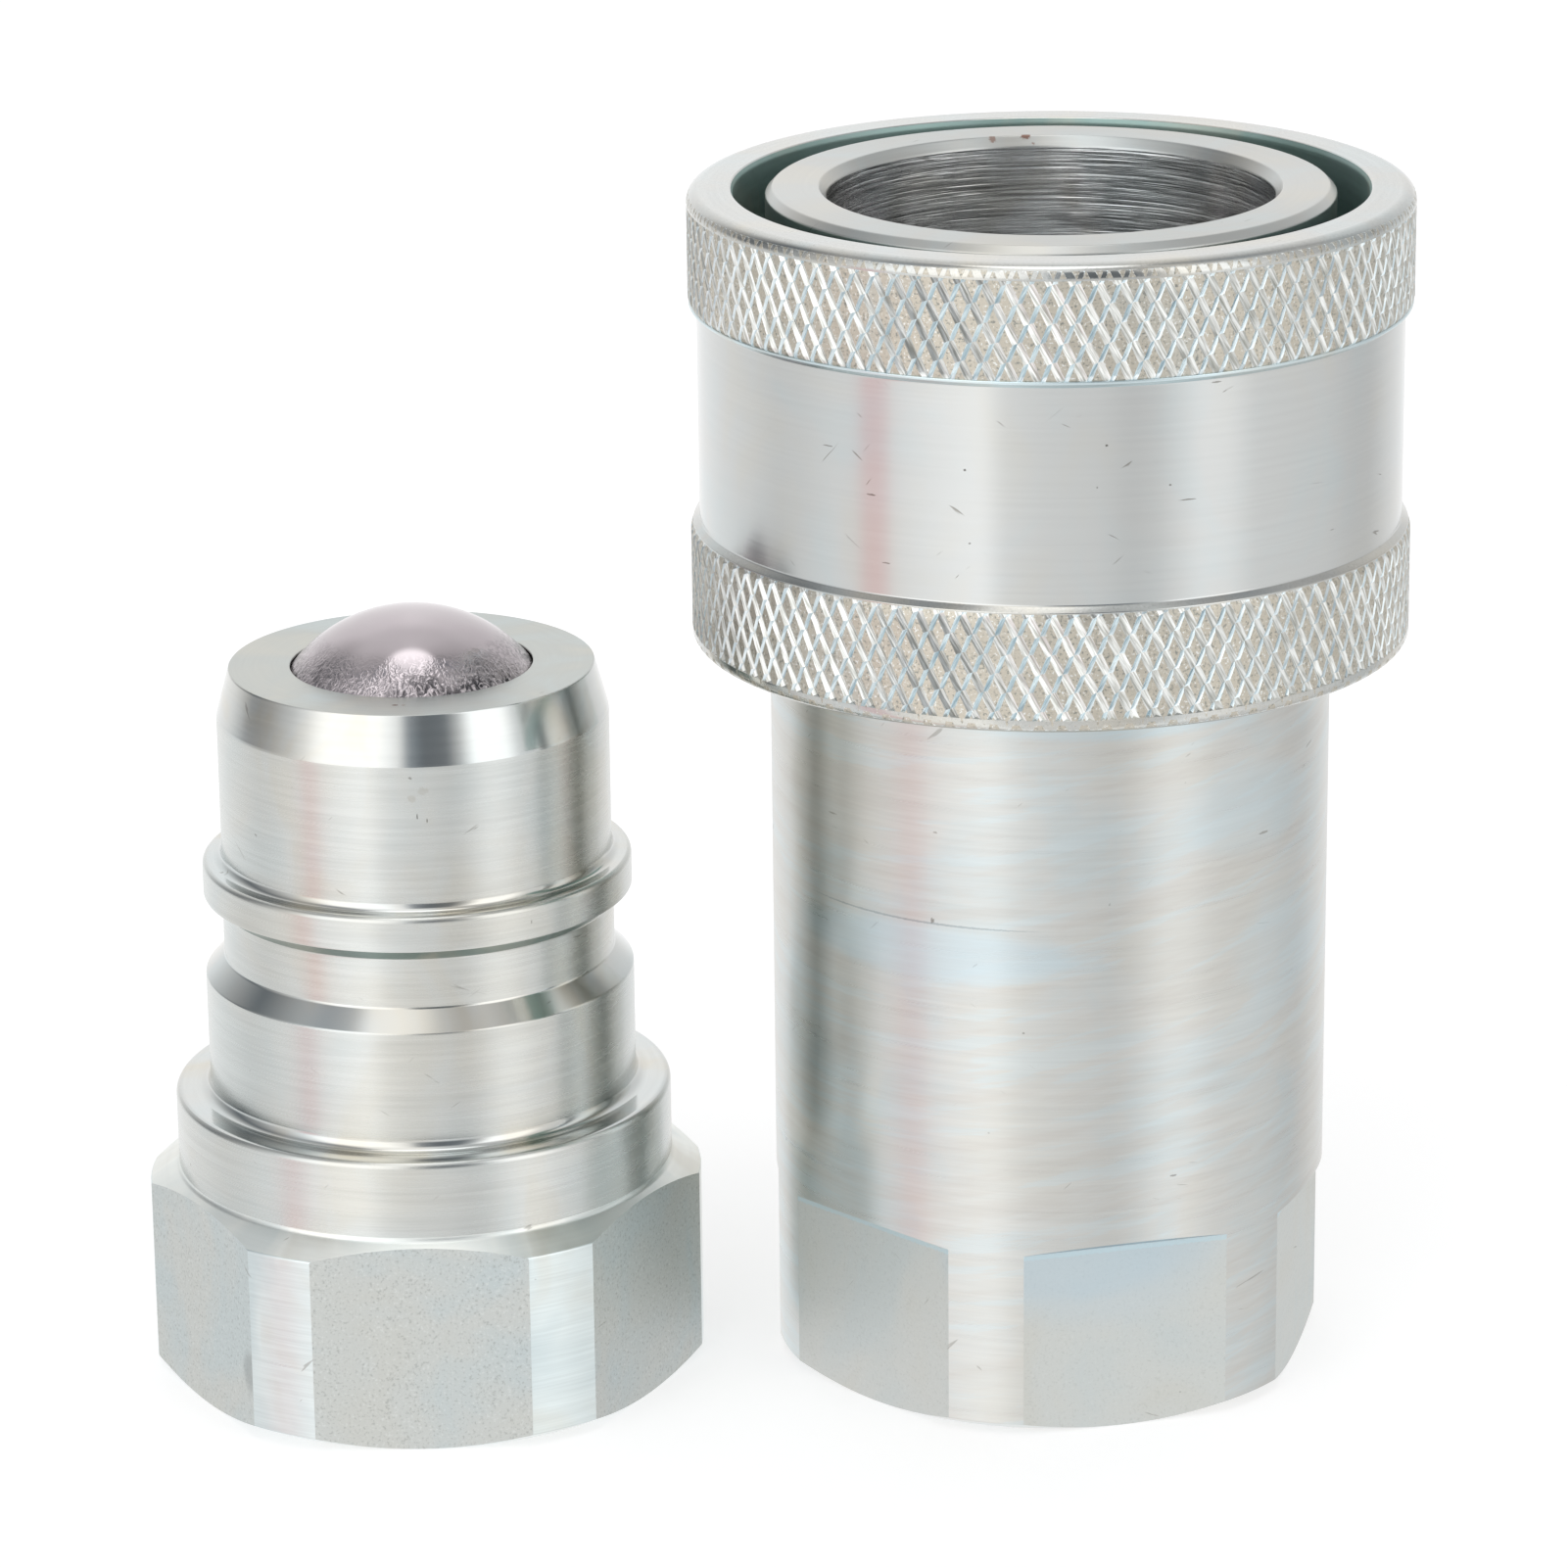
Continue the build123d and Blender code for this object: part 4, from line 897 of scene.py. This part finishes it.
def studio():
    """A white floor, and a white room whose light panels stand left and right of the camera, with a white
    light in its ceiling."""
    bm = bmesh.new()
    bmesh.ops.create_grid(bm, x_segments=1, y_segments=1, size=3000)
    floor = finish_mesh(bm, "floor")
    paper, tree = new_finish("white_paper")
    matte = add(tree, "ShaderNodeBsdfDiffuse", {"Color": linear("#C8C8C8")})
    glow = add(tree, "ShaderNodeEmission", {"Color": (1, 1, 1, 1)})
    seen = add(tree, "ShaderNodeLightPath").outputs["Is Camera Ray"]
    strength = add(tree, "ShaderNodeMath", {0: seen, 1: FLOOR_GLOW}, operation="MULTIPLY").outputs[0]
    tree.links.new(strength, glow.inputs["Strength"])
    both = add(tree, "ShaderNodeAddShader", {0: matte.outputs[0], 1: glow.outputs[0]})
    add(tree, "ShaderNodeOutputMaterial", {"Surface": both.outputs[0]})
    floor.data.materials.append(paper)
    floor.visible_glossy = False
    floor.visible_shadow = False

    world = bpy.data.worlds.new("studio")
    bpy.context.scene.world = world
    world.use_nodes = True
    tree = world.node_tree
    tree.nodes.clear()
    direction = add(tree, "ShaderNodeTexCoord").outputs["Generated"]
    split = add(tree, "ShaderNodeSeparateXYZ", {0: direction})
    toward = add(tree, "ShaderNodeMath", {0: split.outputs["Y"], 1: -1.0}, operation="MULTIPLY").outputs[0]
    bearing = add(tree, "ShaderNodeMath", {0: split.outputs["X"], 1: toward}, operation="ARCTAN2").outputs[0]
    turn = add(tree, "ShaderNodeMapRange", {"Value": bearing, "From Min": -pi, "From Max": pi}).outputs[0]
    elevation = add(tree, "ShaderNodeMath", {0: split.outputs["Z"]}, operation="ARCSINE").outputs[0]
    # The room round the camera at three heights: degrees to the right of the camera and brightness, where 1
    # is white paper. The floor's glow is lowest, then the two tall light panels, then the walls above them.
    floor_glow = [(-180, 1.08), (-150, 1.04), (-120, 0.94), (-105, 0.85), (-93, 0.88), (-80, 0.97), (-71, 0.98),
                  (-67, 0.97), (-61, 1.0), (-57, 1.06), (-43, 1.2), (-27, 1.34), (-20, 1.02), (-8, 0.94),
                  (10, 0.90), (21, 0.78), (29, 0.84), (44, 1.17), (54, 1.14), (64, 0.93), (95, 0.85),
                  (110, 0.74), (121, 0.72), (136, 0.88), (160, 1.02), (180, 1.08)]
    panels = [(-180, 1.12), (-152, 0.95), (-132, 0.50), (-114, 0.20), (-94, 0.45), (-76, 0.78), (-66, 1.1),
              (-58, 1.5), (-50, 1.65), (-22, 1.65), (-9, 1.2), (-3, 0.40), (6, 0.20), (20, 0.24), (28, 0.7),
              (36, 1.65), (56, 1.6), (64, 0.95), (76, 0.76), (94, 0.62), (114, 0.52), (132, 0.76),
              (152, 0.86), (180, 1.12)]
    upper_walls = [(-180, 0.88), (-150, 0.84), (-132, 0.78), (-114, 0.60), (-94, 0.50), (-76, 0.42),
                   (-58, 0.60), (-45, 1.3), (-18, 1.3), (0, 1.15), (18, 0.74), (38, 0.56), (56, 0.76),
                   (76, 0.52), (94, 0.42), (114, 0.50), (132, 0.65), (152, 0.80), (180, 0.88)]
    for levels, rise in ((floor_glow, None), (panels, (-8, 4)), (upper_walls, (40, 58)), (None, (73, 80))):
        if levels:
            ramp = add(tree, "ShaderNodeValToRGB", {0: turn})
            stops = ramp.color_ramp.elements
            for index, (bearing_deg, level) in enumerate(levels):
                at = (bearing_deg + 180) / 360
                stop = stops[index] if index < 2 else stops.new(at)
                stop.position = at
                # The floor's glow is rose low on the left, and the dark stretches are a little cool
                rose = 0.77 if levels is floor_glow and -68 < bearing_deg < -60 else 1.0
                cool = 0.85 if level < 0.45 else 1.0
                stop.color = (level * cool / ROOM_STRENGTH, level * rose * sqrt(cool) / ROOM_STRENGTH,
                              level * rose / ROOM_STRENGTH, 1)
        if rise is None:
            shade = ramp.outputs[0]
        else:
            share = add(tree, "ShaderNodeMapRange", {"Value": elevation, "From Min": radians(rise[0]),
                                                     "From Max": radians(rise[1])},
                        interpolation_type="SMOOTHSTEP").outputs[0]
            shade = add(tree, "ShaderNodeMixRGB", {"Fac": share, "Color1": shade,
                                                   "Color2": ramp.outputs[0] if levels else CEILING}).outputs[0]
    room = add(tree, "ShaderNodeBackground", {"Color": shade, "Strength": ROOM_STRENGTH})
    white = add(tree, "ShaderNodeBackground", {"Color": (1, 1, 1, 1), "Strength": 1.0})
    seen = add(tree, "ShaderNodeLightPath").outputs["Is Camera Ray"]
    mix = add(tree, "ShaderNodeMixShader", {0: seen, 1: room.outputs[0], 2: white.outputs[0]})
    add(tree, "ShaderNodeOutputWorld", {"Surface": mix.outputs[0]})


def photograph_camera():
    """The photograph's camera: fitted to the edges of both halves."""
    pitch, yaw, roll = radians(17.826), radians(2.92), radians(0.660)
    place_at, focal_pixels, picture_pixels, sensor = Vector((-29.96, -313.70, 132.28)), 6428.3, 1601, 36.0
    ahead = Vector((sin(yaw) * cos(pitch), cos(yaw) * cos(pitch), -sin(pitch)))
    right = Vector((cos(yaw), -sin(yaw), 0))
    up = right.cross(ahead)
    image_right = right * cos(roll) - up * sin(roll)
    image_up = up * cos(roll) + right * sin(roll)
    lens = bpy.data.cameras.new("camera")
    lens.sensor_width = sensor
    lens.lens = sensor * focal_pixels / picture_pixels
    lens.clip_start = 0.01
    lens.clip_end = 20.0
    camera = bpy.data.objects.new("camera", lens)
    axes = Matrix((image_right, image_up, -ahead)).transposed()
    camera.matrix_world = Matrix.Translation(place_at * MM) @ axes.to_4x4()
    bpy.context.scene.collection.objects.link(camera)
    bpy.context.scene.camera = camera


studio()
photograph_camera()
bpy.context.scene.view_settings.view_transform = "Standard"
